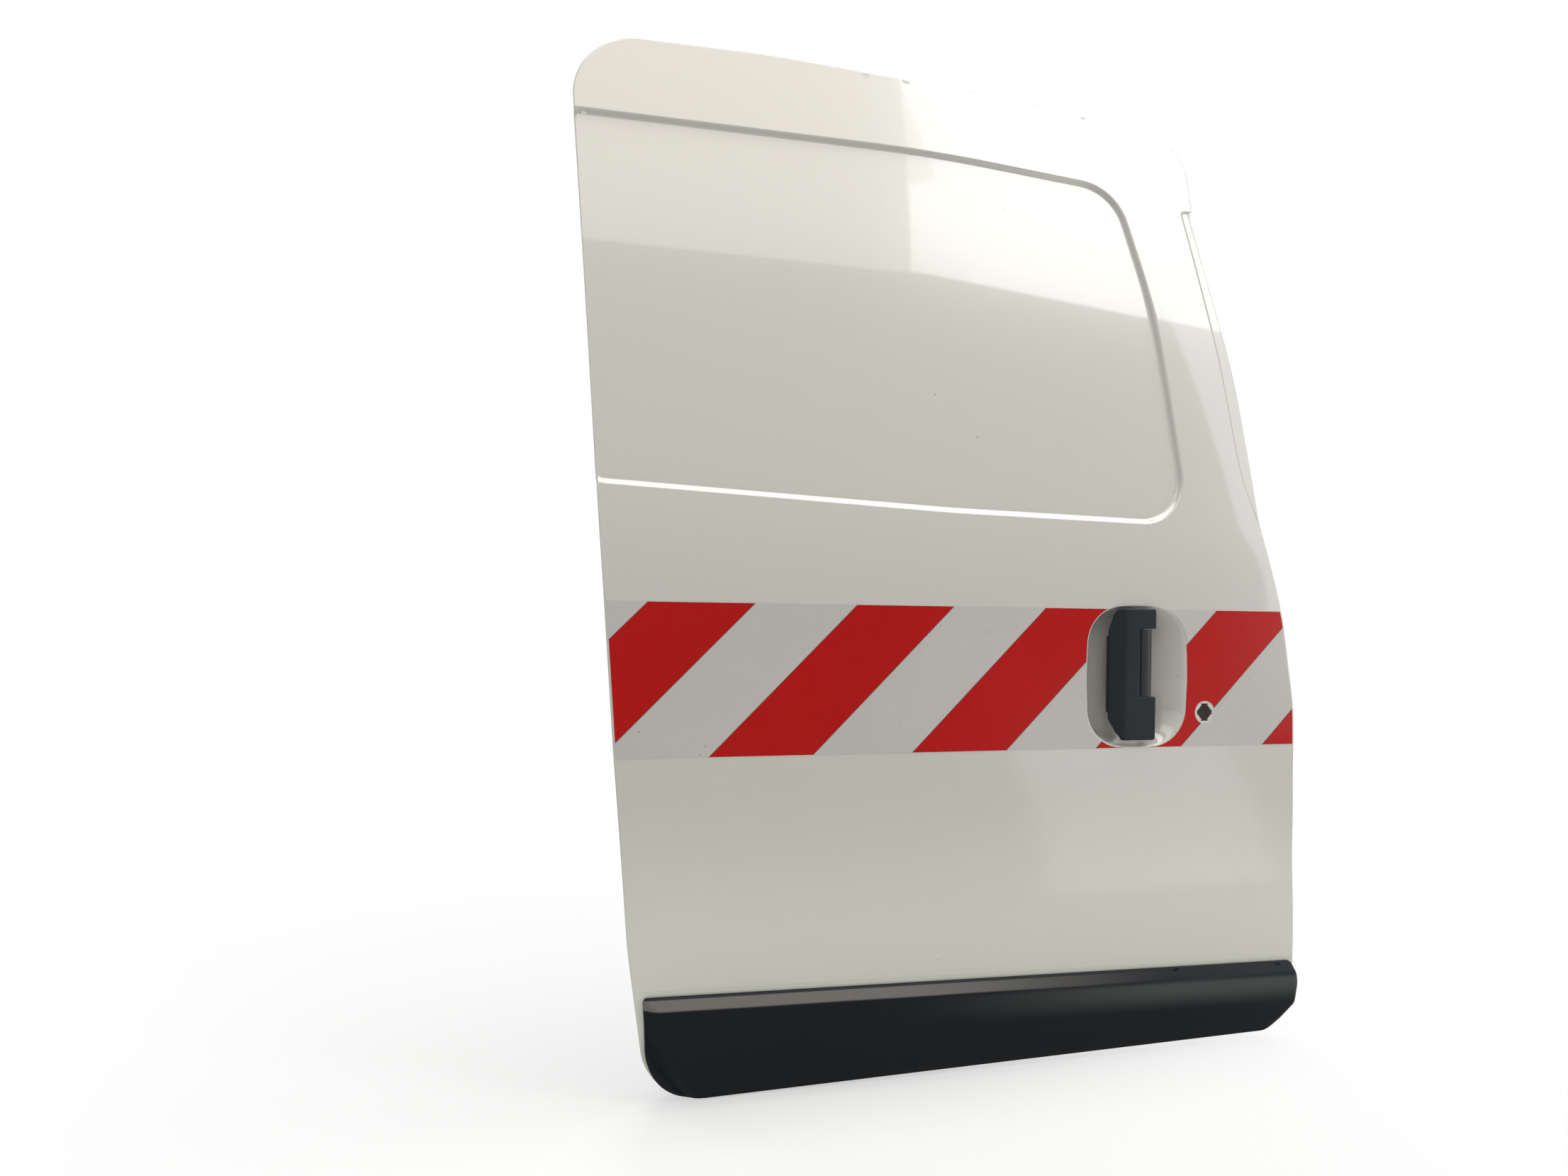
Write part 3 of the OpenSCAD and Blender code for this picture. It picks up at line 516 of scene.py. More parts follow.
def buildSkin():
    shape = Shape()
    plan = planRing(skinCorners, skin["spacing"])
    edge = ring(skinCorners, skin["edge"], plan)
    rim = bowlRing(bowlProfile[0][0])
    hole = lockLoop(0.9)
    guides = []
    for corners, lines in ((fieldCorners, skin["fieldLines"]), (ledgeCorners, skin["ledgeLines"])):
        linePlan = planRing(corners, 8)
        for d in lines:
            guides += clippedRuns(ring(corners, d, linePlan), edge, 2)
    keepOff = [(edge, 6, True), (rim, 6, True), (hole, 5, True), (fieldLoop, 12, True),
               (ledgeLoop, 8, True)]
    loose = scatter(edge, skin["grid"], keepOff)
    flat, faces = fillRegion(edge, [rim, hole], guides, loose)
    shape.patch(ringRow(flat, faceDepth(flat)), faces, depthNormals(flat, faceDepth))
    rows = []
    for s, share in bowlProfile:
        loop = bowlRing(s)
        rows.append(ringRow(loop, skinDepth(loop[:, 1]) * (1 - np.clip(s, 0, 1))
                            + bowl["depth"] * share))
    normals = rowNormals(rows)
    normals[0] = depthNormals(rim, faceDepth)
    normals[-1] = (0, -1, 0)
    shape.rows(rows, normals)
    floorLoop = bowlRing(1.0)
    slotLoop = loneRing(slotCorners, 6)
    flat, faces = fillRegion(floorLoop, [slotLoop])
    shape.patch(ringRow(flat, bowl["depth"]), faces, [(0, -1, 0)] * len(flat))
    depth = skinDepth(lock["z"])
    turned = [(0.9, 0), (0.45, 0.12), (0.12, 0.5), (0, 1.1), (0, 2.0)]
    rows = [ringRow(lockLoop(g), depth + d) for g, d in turned]
    normals = rowNormals(rows)
    normals[0] = (0, -1, 0)
    shape.rows(rows, normals)
    edgeRow = shape.index(ringRow(edge, faceDepth(edge)))
    count = shape.back(skin["thickness"], edgeRow)
    # Hem folded round the inner panel
    t = skin["thickness"]
    r = skin["edge"]
    turn = [math.radians(a) for a in range(18, 180, 18)]
    hem = [(r - r * math.sin(a), 1.5 * t - 1.5 * t * math.cos(a)) for a in turn]
    hem += [(r, 3 * t), (skin["hem"], 3 * t), (skin["hem"], 2 * t), (r, 2 * t), (r * 0.8, 1.5 * t)]
    rows = [edgeRow]
    for d, deep in hem:
        loop = ring(skinCorners, d, plan)
        rows.append(ringRow(loop, faceDepth(ring(skinCorners, max(d, 0.2), plan)) + deep))
    rows.append([k + count for k in edgeRow])
    shape.rows(rows, outward=True)
    return shape.mesh("outerSkin")


outerSkin = buildSkin()
print("skin", len(outerSkin.data.polygons))

# Inner panel: flange under the hem, wall, face with beads and lipped openings
panel = {"thickness": 1.2, "flange": 17, "depth": 58, "round": 8, "draft": 1.5, "lip": 9,
         "lipRound": 3, "bead": 4, "beadSlope": 5, "beadLines": (-2.5, -1.2, 0, 1.2, 2.5),
         "fold": [(9.5, 0), (15, 0), (16.2, 0.4), (16.8, 1.2), (17, 2.6)]}
openings = {
    "upper": [(-24, 872, 60), (770, 872, 60), (752, 1260, 70), (705, 1318, 70), (-20, 1318, 60),
              (-48, 1250, 60)],
    "rear": [(88, 196, 40), (430, 190, 40), (430, 520, 40), (110, 520, 40), (70, 470, 30)],
    "front": [(520, 188, 40), (880, 182, 40), (872, 404, 40), (520, 404, 40)],
    "handle": rectangle(634, 486, 786, 650, 24),
}
beads = [[(120, 78, 14), (840, 90, 14), (840, 122, 14), (120, 110, 14)],
         rectangle(180, 700, 560, 732, 14), rectangle(452, 210, 492, 600, 14)]
beadLoops = [loneRing(b, 12) for b in beads]


def innerDepth(points):
    y = skinDepth(points[:, 1]) + panel["depth"]
    for loop in beadLoops:
        y = y + panel["bead"] * smooth(signedInside(points, loop) / panel["beadSlope"] + 0.5)
    return y


def buildInnerPanel():
    shape = Shape()
    p = panel
    t = skin["thickness"]
    plan = planRing(frameCorners, 9)
    rows = []
    for d, rise in p["fold"]:
        loop = ring(frameCorners, d, plan)
        rows.append(ringRow(loop, faceDepth(loop) + (2 * t + rise)))
    top = p["depth"] - p["round"]
    for share in (0.12, 0.3, 0.55, 0.8, 1):
        loop = ring(frameCorners, p["flange"] + p["draft"] * share, plan)
        low = faceDepth(loop) + 2 * t + p["fold"][-1][1]
        rows.append(ringRow(loop, low + (skinDepth(loop[:, 1]) + top - low) * share))
    for a in (15, 30, 45, 60, 75, 90):
        a = math.radians(a)
        d = p["flange"] + p["draft"] + p["round"] * (1 - math.cos(a))
        loop = ring(frameCorners, d, plan)
        rows.append(ringRow(loop, skinDepth(loop[:, 1]) + top + p["round"] * math.sin(a)))
    normals = -rowNormals(rows)
    edge = ring(frameCorners, p["flange"] + p["draft"] + p["round"], plan)
    normals[-1] = -depthNormals(edge, innerDepth)
    shape.rows(rows, normals, outward=True)
    plans = {name: planRing(insetCorners(c, -p["lipRound"]), 8) for name, c in openings.items()}
    holes = [ring(c, -p["lipRound"], plans[name]) for name, c in openings.items()]
    guides = []
    for b in beads:
        for d in p["beadLines"]:
            line = loneRing(b, 9, d)
            guides.append(np.vstack([line, line[:1]]))
    keepOff = [(edge, 6, True)] + [(h, 6, True) for h in holes] + [(b, 8, True) for b in beadLoops]
    loose = scatter(edge, 16, keepOff)
    flat, faces = fillRegion(edge, holes, guides, loose)
    shape.patch(ringRow(flat, innerDepth(flat)), faces, -depthNormals(flat, innerDepth), flip=True)
    for name, corners in openings.items():
        rows = []
        r = p["lipRound"]
        for a in (0, 22, 45, 68, 90):
            a = math.radians(a)
            loop = ring(corners, -r * (1 - math.sin(a)), plans[name])
            rows.append(ringRow(loop, skinDepth(loop[:, 1]) + p["depth"] - r * (1 - math.cos(a))))
        loop = ring(corners, 0, plans[name])
        rows.append(ringRow(loop, skinDepth(loop[:, 1]) + p["depth"] - p["lip"]))
        normals = -rowNormals(rows)
        normals[0] = -depthNormals(holes[list(openings).index(name)], innerDepth)
        shape.rows(rows, normals, outward=True)
    shape.back(p["thickness"])
    return shape.mesh("innerPanelShell")


# Slots for the strikers, cut square to the door's edge
strikers = {"front": ((981, 520), (960, 652), 0.51), "rear": ((-70, 760), (-47, 470), 0.58),
            "deep": 26, "high": 16, "inset": 18.2, "past": 17, "over": 6}


def cutSlots(obj):
    s = strikers
    for name in ("front", "rear"):
        a, b, share = s[name]
        a, b = np.array(a, float), np.array(b, float)
        u = unit(b - a)
        out = np.array([u[1], -u[0]])
        spot = a + (b - a) * share - out * s["inset"]
        bm = bmesh.new()
        bmesh.ops.create_cube(bm, size=1)
        turn = Matrix.Rotation(-math.atan2(out[1], out[0]), 4, "Y")
        for v in bm.verts:
            local = Vector((v.co.x * (s["deep"] + s["past"]) + (s["past"] - s["deep"]) / 2,
                            v.co.y * (s["deep"] + 2 * s["over"]) - s["deep"] / 2 + s["over"],
                            v.co.z * s["high"]))
            local = turn @ local
            v.co = place(spot[0] + local.x, panel["depth"] - panel["thickness"] + local.y,
                         spot[1] + local.z)
        mesh = bpy.data.meshes.new("cutter")
        bm.to_mesh(mesh)
        bm.free()
        cutter = addObject("cutter", mesh)
        mod = obj.modifiers.new("slot", "BOOLEAN")
        mod.object = cutter
        mod.solver = "EXACT"
        bpy.context.view_layer.update()
        applied(obj)
        bpy.data.objects.remove(cutter)


innerPanel = buildInnerPanel()
cutSlots(innerPanel)
print("inner panel", len(innerPanel.data.polygons))

# Reflective tape: stripes cut away round the bowl and the lock
tape = {"low": 464, "high": 664, "pitch": 200 * math.sqrt(2), "start": -7, "lead": 0.35,
        "thickness": 0.3, "margin": 3, "bowlGap": 1.5, "lockR": 17,
        "span": (-80, 1000), "grid": 14}


def stripePhase(points):
    along = points[:, 0] - tape["start"] + (tape["high"] - points[:, 1])
    return np.mod(along / tape["pitch"], 1)


def buildTape():
    edge = loneRing(skinCorners, 9, tape["margin"])
    hole = loneRing(bowlCorners(), 4, -tape["bowlGap"])
    turn = np.linspace(0, 2 * math.pi, 49)[:-1]
    lockHole = np.column_stack([lock["x"] + tape["lockR"] * np.cos(turn),
                                lock["z"] + tape["lockR"] * np.sin(turn)])
    width = tape["high"] - tape["low"]
    guides = []
    for z in (tape["low"], tape["high"]):
        guides.append(np.array([(x, z) for x in np.linspace(*tape["span"], 109)]))
    for k in range(-2, 11):
        x = tape["start"] + k * tape["pitch"] / 2
        guides.append(np.array([(x - width * s, tape["high"] - width * s)
                                for s in np.linspace(0, 1, 24)]))
    flat, faces = fillRegion(edge, [hole, lockHole], guides,
                             scatter(edge, tape["grid"], [(edge, 6, True), (hole, 5, True)]))
    middle = flat[faces].mean(axis=1)
    inBand = (middle[:, 1] > tape["low"]) & (middle[:, 1] < tape["high"])
    red = stripePhase(middle) < 0.5
    out = []
    for name, chosen in (("tapeWhiteSheet", inBand & ~red), ("tapeRedSheet", inBand & red)):
        shape = Shape()
        use = faces[chosen]
        names = np.unique(use)
        back = {k: i for i, k in enumerate(names)}
        pts = flat[names]
        shape.patch(ringRow(pts, faceDepth(pts) - tape["lead"]),
                    [[back[k] for k in f] for f in use], depthNormals(pts, faceDepth))
        shape.back(tape["thickness"])
        out.append(shape.mesh(name))
    return out


tapeWhite, tapeRed = buildTape()
print("tape")


# A plate whose front follows a depth rule, rolled over at its edge, with walls to a flat back
def buildPlate(name, corners, depth, rollR, backDepth, spacing=4, grid=8):
    plan = planRing(corners, spacing)
    shape = Shape()
    rows = []
    for level in (0, 0.06, 0.2, 0.42, 0.7, 1):
        loop = ring(corners, level * rollR, plan)
        s = 1 - level
        rows.append(ringRow(loop, depth(loop) + rollR * (1 - math.sqrt(1 - s * s))))
    normals = rowNormals(rows)
    last = ring(corners, rollR, plan)
    normals[-1] = depthNormals(last, depth)
    shape.rows(rows, normals)
    shape.cap(last, depth, grid, grid / 3, curved=True)
    outer = ring(corners, 0, plan)
    shape.rows([ringRow(outer, backDepth(outer)), rows[0]])
    shape.cap(outer, backDepth, 3 * grid, grid, flip=True)
    return shape.mesh(name)


def level(y):
    return lambda points: np.full(len(points), float(y))


# Handle grip: bevelled plate with a notch for the barrel, finger lip and hinge blocks
grip = {"left": 661, "right": 734, "z": 570, "h": 190, "edge": -1, "face": -8, "ridge": 22,
        "soft": 1.2, "roll": 1.8, "back": 1.5, "endBack": -2.2, "cut": 31, "lowCut": 20, "highCut": 12,
        "notchX": 707.8, "notchLow": 537.8, "notchHigh": 636.2, "rim": 8, "seat": 1, "seatRoll": 0.5,
        "lip": (1, 8), "lipEnd": 8, "lipDepth": 8, "blockNear": 1, "blockFar": 5, "blockDepth": 6.5}


def gripDepth(points):
    g = grip
    run = (points[:, 0] - g["left"]) / g["ridge"]
    slope = g["edge"] + (g["face"] - g["edge"]) * run
    return 0.5 * (slope + g["face"] + np.sqrt((slope - g["face"]) ** 2 + g["soft"]))


# The face is thinner past the hinge blocks, where it swings over the bowl's ends
def gripBack(points):
    end = grip["h"] / 2 - grip["rim"]
    return np.where(np.abs(points[:, 1] - grip["z"]) > end, grip["endBack"], grip["back"])


def joined(name, objs):
    shape = bmesh.new()
    for obj in objs:
        shape.from_mesh(obj.data)
    mesh = bpy.data.meshes.new(name)
    shape.to_mesh(mesh)
    shape.free()
    for obj in objs:
        bpy.data.objects.remove(obj)
    return addObject(name, mesh)


def buildGrip():
    g = grip
    low, high = g["z"] - g["h"] / 2, g["z"] + g["h"] / 2
    face = [(g["left"] + g["lowCut"], low, 5), (g["right"], low, 4), (g["right"], g["notchLow"], 1.5),
            (g["notchX"], g["notchLow"], 3), (g["notchX"], g["notchHigh"], 3),
            (g["right"], g["notchHigh"], 1.5), (g["right"], high, 4),
            (g["left"] + g["highCut"], high, 6), (g["left"], high - g["cut"], 6),
            (g["left"], low + g["cut"], 6)]
    pieces = [buildPlate("gripFace", face, gripDepth, g["roll"], gripBack, 3, 6)]
    lipLow, lipHigh = low + g["cut"] + g["lipEnd"], high - g["cut"] - g["lipEnd"]
    near, far = (g["left"] + d for d in g["lip"])
    lip = rectangle(near, lipLow, far, lipHigh, 3)
    seat = level(g["seat"])
    pieces.append(buildPlate("gripLip", lip, seat, g["seatRoll"], level(g["lipDepth"])))
    near, far = g["notchX"] + g["blockNear"], g["right"] - g["blockFar"]
    for z0, z1 in ((low + g["rim"], g["notchLow"]), (g["notchHigh"], high - g["rim"])):
        block = [(near, z0, 3), (far, z0, 3), (far, z1, 1), (near, z1, 1)]
        pieces.append(buildPlate("gripBlock", block, seat, g["seatRoll"], level(g["blockDepth"])))
    return pieces


gripPieces = buildGrip()
print("grip")

# Lower moulding: bevelled along the top and down the rear end, drawn in at the foot
mould = {"proud": 16, "edge": 4, "bevel": 17, "fall": 1.42, "topZ": 149, "soft": 1.2,
         "sideBevel": 19, "sideEdge": 3, "frontEnd": 9, "endLow": 0.55, "endRise": 0.45}
mouldCorners = [(12, -3, 84), (982, 12, 30), (1021, 56, 26), (1020, 90, 60), (1007, 124, 7),
                (0, 149, 6), (4, 110, 200)]
rearEnd = np.array([(-3, 165), (-1, 149), (2, 117), (7, 95), (14, 74), (27, 46), (44, 22), (62, 5),
                    (80, -6)])
frontEnd = np.array([(1010, 135), (1021, 90), (1022, 56), (1000, 30), (975, 5)])
mouldStand = {"z": [-20, -4, 4, 14, 24, 36, 52, 70, 95],
              "share": [0.12, 0.30, 0.44, 0.66, 0.80, 0.90, 0.965, 0.99, 1.0]}


def softMin(a, b, width):
    return 0.5 * (a + b - np.sqrt((a - b) ** 2 + width * width))


def standOff(points):
    m = mould
    x, z = points[:, 0], points[:, 1]
    below = (m["topZ"] - x * math.tan(math.radians(m["fall"])) - z)
    full = m["proud"] * np.interp(z, mouldStand["z"], mouldStand["share"])
    top = m["edge"] + (m["proud"] - m["edge"]) * below / m["bevel"]
    reach = distanceTo(points, rearEnd, False)
    side = m["sideEdge"] + (m["proud"] - m["sideEdge"]) * reach / m["sideBevel"]
    out = softMin(softMin(full, top, m["soft"]), side, m["soft"])
    near = np.clip(distanceTo(points, frontEnd, False) / m["frontEnd"], 0, 1)
    return out * (m["endLow"] + m["endRise"] * np.sqrt(1 - (1 - near) ** 2))


def mouldDepth(points):
    return skinDepth(points[:, 1]) - standOff(points)


lowerMoulding = buildPlate("mouldingShell", mouldCorners, mouldDepth, 1.6, faceDepth, 7, 6.5)
print("moulding")


# Inside release: bezel with a recess, and its lever
release = {"x": 845, "z": 706, "w": 96, "h": 52, "depth": 12, "wall": 6, "floor": 4}
lever = {"w": release["w"] - 28, "h": release["h"] - 26, "r": 8, "gap": 1, "high": 8.5, "wave": 1.6,
         "waves": 5.2, "dish": 2.2, "dishFrom": 0.35, "inset": 1.8}


def plateCorners(w, h, r):
    x, z = release["x"], release["z"]
    return rectangle(x - w / 2, z - h / 2, x + w / 2, z + h / 2, r)


def buildBezel():
    i = release
    base = panel["depth"]
    corners = plateCorners(i["w"], i["h"], 10)
    plan = planRing(corners, 4)
    shape = Shape()
    profile = [(0, 0.5), (0, 7), (0.5, 9), (1.6, 11), (3, i["depth"]), (4.6, i["depth"]),
               (5.6, 11.2), (i["wall"], 10), (i["wall"] + 1.5, 5.5), (i["wall"] + 3, i["floor"])]
    rows = []
    for d, y in profile:
        loop = ring(corners, d, plan)
        under = skinDepth(loop[:, 1]) if y < 1 else 0
        rows.append(ringRow(loop, base + y + under))
    shape.rows(rows, outward=True)
    shape.cap(ring(corners, profile[-1][0], plan), level(base + i["floor"]), flip=True)
    first = ring(corners, 0, plan)
    shape.cap(first, lambda points: skinDepth(points[:, 1]) + base + profile[0][1], 10, 4)
    return shape.mesh("insideBezel", 30)


# The lever is dished for the fingers and thicker at its pivot
def buildLever():
    v = lever
    corners = plateCorners(v["w"], v["h"], v["r"])
    plan = planRing(corners, 3)
    first = ring(corners, 0, plan)
    base = panel["depth"] + release["floor"] + v["gap"]

    def top(points):
        run = (points[:, 0] - first[:, 0].min()) / v["w"]
        across = (points[:, 1] - release["z"]) / v["h"]
        dish = v["dish"] * smooth((run - v["dishFrom"]) * 2) * (1 - 4 * across ** 2)
        return base + v["high"] + v["wave"] * np.cos(run * v["waves"]) - dish

    shape = Shape()
    rows = [ringRow(first, base)]
    for d, drop in ((0, 1.8), (0.25, 1.0), (0.8, 0.35), (v["inset"], 0)):
        loop = ring(corners, d, plan)
        rows.append(ringRow(loop, top(loop) - drop))
    shape.rows(rows, outward=True)
    shape.cap(ring(corners, v["inset"], plan), top, 3, 1, flip=True)
    shape.cap(first, level(base))
    return shape.mesh("insideLever", 45)


insideBezel = buildBezel()
insideLever = buildLever()
print("inside release")


# Shader arithmetic: a wrapped socket that can be added, multiplied and so on
class Ink:
    def __init__(self, tree, out):
        self.tree = tree
        self.out = out

    def maths(self, operation, first, second):
        node = self.tree.nodes.new("ShaderNodeMath")
        node.operation = operation
        for slot, value in zip(node.inputs, (first, second)):
            if isinstance(value, Ink):
                self.tree.links.new(value.out, slot)
            else:
                slot.default_value = value
        return Ink(self.tree, node.outputs[0])

    def __add__(self, other):
        return self.maths("ADD", self, other)

    def __sub__(self, other):
        return self.maths("SUBTRACT", self, other)

    def __rsub__(self, other):
        return self.maths("SUBTRACT", other, self)

    def __mul__(self, other):
        return self.maths("MULTIPLY", self, other)

    def __truediv__(self, other):
        return self.maths("DIVIDE", self, other)

    def __gt__(self, other):
        return self.maths("GREATER_THAN", self, other)

    def __lt__(self, other):
        return self.maths("LESS_THAN", self, other)


# A material under construction
class Finish:
    def __init__(self, name, color, roughness=0.5, metallic=0.0, **fixed):
        self.mat = bpy.data.materials.new(name)
        self.mat.use_nodes = True
        self.tree = self.mat.node_tree
        self.shader = self.tree.nodes["Principled BSDF"]
        self.shader.inputs["Base Color"].default_value = (*color, 1)
        self.shader.inputs["Roughness"].default_value = roughness
        self.shader.inputs["Metallic"].default_value = metallic
        for key, value in fixed.items():
            self.shader.inputs[key].default_value = value
        self.spot = self.node("ShaderNodeTexCoord", out="Object")

    # Any node: its settings first, then the values or links of its sockets
    def node(self, kind, settings=None, values=None, out=0):
        made = self.tree.nodes.new(kind)
        for key, value in (settings or {}).items():
            setattr(made, key, value)
        for key, value in (values or {}).items():
            self.feed(made.inputs[key], value)
        return Ink(self.tree, made.outputs[out])

    def feed(self, slot, value):
        if isinstance(value, Ink):
            self.tree.links.new(value.out, slot)
        else:
            slot.default_value = value

    def axes(self):
        made = self.node("ShaderNodeSeparateXYZ", values={"Vector": self.spot})
        return [Ink(self.tree, out) for out in made.out.node.outputs]

    # The drawing's x and z, in millimetres
    def drawn(self):
        x, y, z = self.axes()
        return x * 1000 + frameOrigin[0], z * 1000 + frameOrigin[2]

    def stretched(self, scale):
        return self.node("ShaderNodeVectorMath", {"operation": "MULTIPLY"},
                         {0: self.spot, 1: scale})

    def noise(self, scale, detail=3.0, rough=0.55, stretch=None):
        spot = self.spot if stretch is None else self.stretched(stretch)
        return self.node("ShaderNodeTexNoise", values={"Vector": spot, "Scale": scale,
                                                       "Detail": detail, "Roughness": rough})

    def cells(self, scale, feature="F1", randomness=1.0):
        return self.node("ShaderNodeTexVoronoi", {"feature": feature},
                         {"Vector": self.spot, "Scale": scale, "Randomness": randomness},
                         out="Distance")

    def step(self, value, low, high):
        return self.node("ShaderNodeMapRange", {"interpolation_type": "SMOOTHSTEP"},
                         {"Value": value, "From Min": low, "From Max": high})

    def tint(self, share, first, second):
        first = (*first, 1) if isinstance(first, tuple) else first
        second = (*second, 1) if isinstance(second, tuple) else second
        return self.node("ShaderNodeMix", {"data_type": "RGBA"}, {0: share, 6: first, 7: second},
                         out=2)

    def base(self, ink):
        self.feed(self.shader.inputs["Base Color"], ink)

    def rough(self, ink):
        self.feed(self.shader.inputs["Roughness"], ink)

    def bump(self, height, distance, strength=1.0):
        made = self.node("ShaderNodeBump", values={"Height": height, "Distance": distance,
                                                   "Strength": strength}, out="Normal")
        self.feed(self.shader.inputs["Normal"], made)


# Gloss off-white paint outside: faint tone changes, painted light from the ground lightening it
# towards the foot, fine specks
paint = {"clean": (0.545, 0.538, 0.492), "warm": (0.54, 0.524, 0.468), "toneNoise": (2.3, 4.0),
         "toneShare": 0.8, "film": (0.71, 0.715, 0.62), "footLightTop": -0.12, "footLightFoot": -0.36,
         "footLightNoise": (9.0, 4.0), "footLightRagged": 0.05, "footLightShare": 0.6,
         "speck": (0.09, 0.085, 0.08), "specks": (34, 0.035, 0.36), "speckShare": 0.8,
         "roughness": 0.2, "coat": 1.0, "coatRoughness": 0.035, "peelNoise": (420.0, 2.0),
         "peel": 0.08, "creaseZ": -0.4337, "creaseFall": 0.0277, "creaseHalf": 0.0013,
         "creaseDepth": 0.0007, "creaseStrength": 0.4}


def specks(f, scale, size, share):
    near = f.cells(scale)
    some = f.noise(scale * 0.23, 1.0) > (1 - share)
    return (near < size) * some


def gloss():
    p = paint
    f = Finish("whitePaint", p["clean"], p["roughness"],
               **{"Coat Weight": p["coat"], "Coat Roughness": p["coatRoughness"]})
    x, y, z = f.axes()
    tone = f.tint(f.noise(*p["toneNoise"]) * p["toneShare"], p["clean"], p["warm"])
    # Painted light from the ground: the paint turns lighter towards the foot, and is rougher there
    film = f.step(z + f.noise(*p["footLightNoise"]) * p["footLightRagged"], p["footLightTop"], p["footLightFoot"])
    tone = f.tint(film * p["footLightShare"], tone, p["film"])
    tone = f.tint(specks(f, *p["specks"]) * p["speckShare"], tone, p["speck"])
    f.base(tone)
    f.rough(f.noise(30.0, 3.0) * 0.06 + p["roughness"] - 0.03 + film * 0.05)
    above = z - p["creaseZ"] + x * p["creaseFall"]
    crease = f.step(above, -p["creaseHalf"], p["creaseHalf"])
    peel = f.noise(*p["peelNoise"]) * p["peel"]
    f.bump(crease + peel, p["creaseDepth"], p["creaseStrength"])
    return f.mat


# Plain finishes: colour, roughness and metal, the noise and the two tones of the colour, and where
# given the noise of the roughness with its spread and least value, of the bump with its size, and
# of the dust with its edges, share and colour. The paint inside is thinner and flatter.
zinc = {"color": (0.60, 0.60, 0.56), "roughness": 0.35, "metal": 1.0, "noise": (35.0, 4.0),
        "tones": ((0.62, 0.61, 0.56), (0.48, 0.48, 0.45)), "rough": (90.0, 4.0, 0.3, 0.22),
        "bump": (400.0, 2.0, 0.00004, 0.5), "stretch": (1, 1, 0.08)}
plainFinishes = {
    "innerPaint": {"color": (0.66, 0.645, 0.60), "roughness": 0.36, "coat": 0.15,
                   "noise": (3.1, 4.0), "tones": ((0.68, 0.66, 0.61), (0.61, 0.595, 0.55)),
                   "dust": ((14.0, 5.0, 0.65), (0.55, 0.8), 0.35, (0.45, 0.43, 0.38)),
                   "rough": (60.0, 3.0, 0.2, 0.28), "bump": (900.0, 2.0, 0.00008, 0.6)},
    "primedSteel": {"color": (0.40, 0.41, 0.40), "roughness": 0.5, "noise": (20.0, 4.0),
                    "tones": ((0.42, 0.43, 0.42), (0.33, 0.34, 0.335)),
                    "rough": (80.0, 3.0, 0.2, 0.4), "bump": (700.0, 2.0, 0.00008, 0.5)},
    "coatedSteel": {"color": (0.035, 0.038, 0.04), "roughness": 0.42, "noise": (24.0, 5.0),
                    "edges": (0.45, 0.75), "tones": ((0.03, 0.033, 0.036), (0.075, 0.075, 0.072)),
                    "rough": (120.0, 3.0, 0.25, 0.3), "bump": (500.0, 3.0, 0.0001, 0.6)},
    "zincPlate": zinc,
    "yellowZinc": {**zinc, "tones": ((0.62, 0.61, 0.30), (0.48, 0.48, 0.19))},
    "springSteel": {"color": (0.30, 0.30, 0.31), "roughness": 0.3, "metal": 1.0,
                    "noise": (300.0, 3.0), "tones": ((0.32, 0.32, 0.33), (0.22, 0.21, 0.21)),
                    "rough": (500.0, 2.0, 0.2, 0.22)},
    "rubberSeal": {"color": (0.018, 0.018, 0.018), "roughness": 0.75, "noise": (40.0, 4.0),
                   "tones": ((0.016, 0.016, 0.016), (0.04, 0.039, 0.037)),
                   "bump": (700.0, 2.0, 0.0001, 0.5)},
    "masticPad": {"color": (0.07, 0.07, 0.07), "roughness": 0.85, "noise": (60.0, 4.0),
                  "tones": ((0.06, 0.06, 0.06), (0.12, 0.115, 0.11)),
                  "bump": (160.0, 4.0, 0.0006, 0.8)},
}


def plain(name):
    p = plainFinishes[name]
    f = Finish(name, p["color"], p["roughness"], p.get("metal", 0.0),
               **{"Coat Weight": p.get("coat", 0.0)})
    share = f.noise(*p["noise"])
    if "edges" in p:
        share = f.step(share, *p["edges"])
    tone = f.tint(share, *p["tones"])
    if "dust" in p:
        noise, edges, most, color = p["dust"]
        tone = f.tint(f.step(f.noise(*noise), *edges) * most, tone, color)
    f.base(tone)
    if "rough" in p:
        scale, detail, spread, least = p["rough"]
        f.rough(f.noise(scale, detail) * spread + least)
    if "bump" in p:
        scale, detail, distance, strength = p["bump"]
        f.bump(f.noise(scale, detail, stretch=p.get("stretch")), distance, strength)
    return f.mat


# Painted reflections on the moulding: a lighter bevel at the left and a lighter band at the right, by
# distance below its top line and place along the door
mouldSheen = {"bevel": (0.155, 0.147, 0.135), "bevelTop": (1.5, 3.5), "bevelFoot": 2.5,
           "bevelAlong": (0.80, 0.30), "band": (0.062, 0.066, 0.066), "bandTop": (15, 24),
           "bandFoot": (66, 30), "bandAlong": (0.30, 0.80)}


# Grained plastics: the grip, the moulding and the plain black parts
dust = {"specks": (60, 0.05, 0.4), "share": 0.3, "color": (0.16, 0.155, 0.145)}


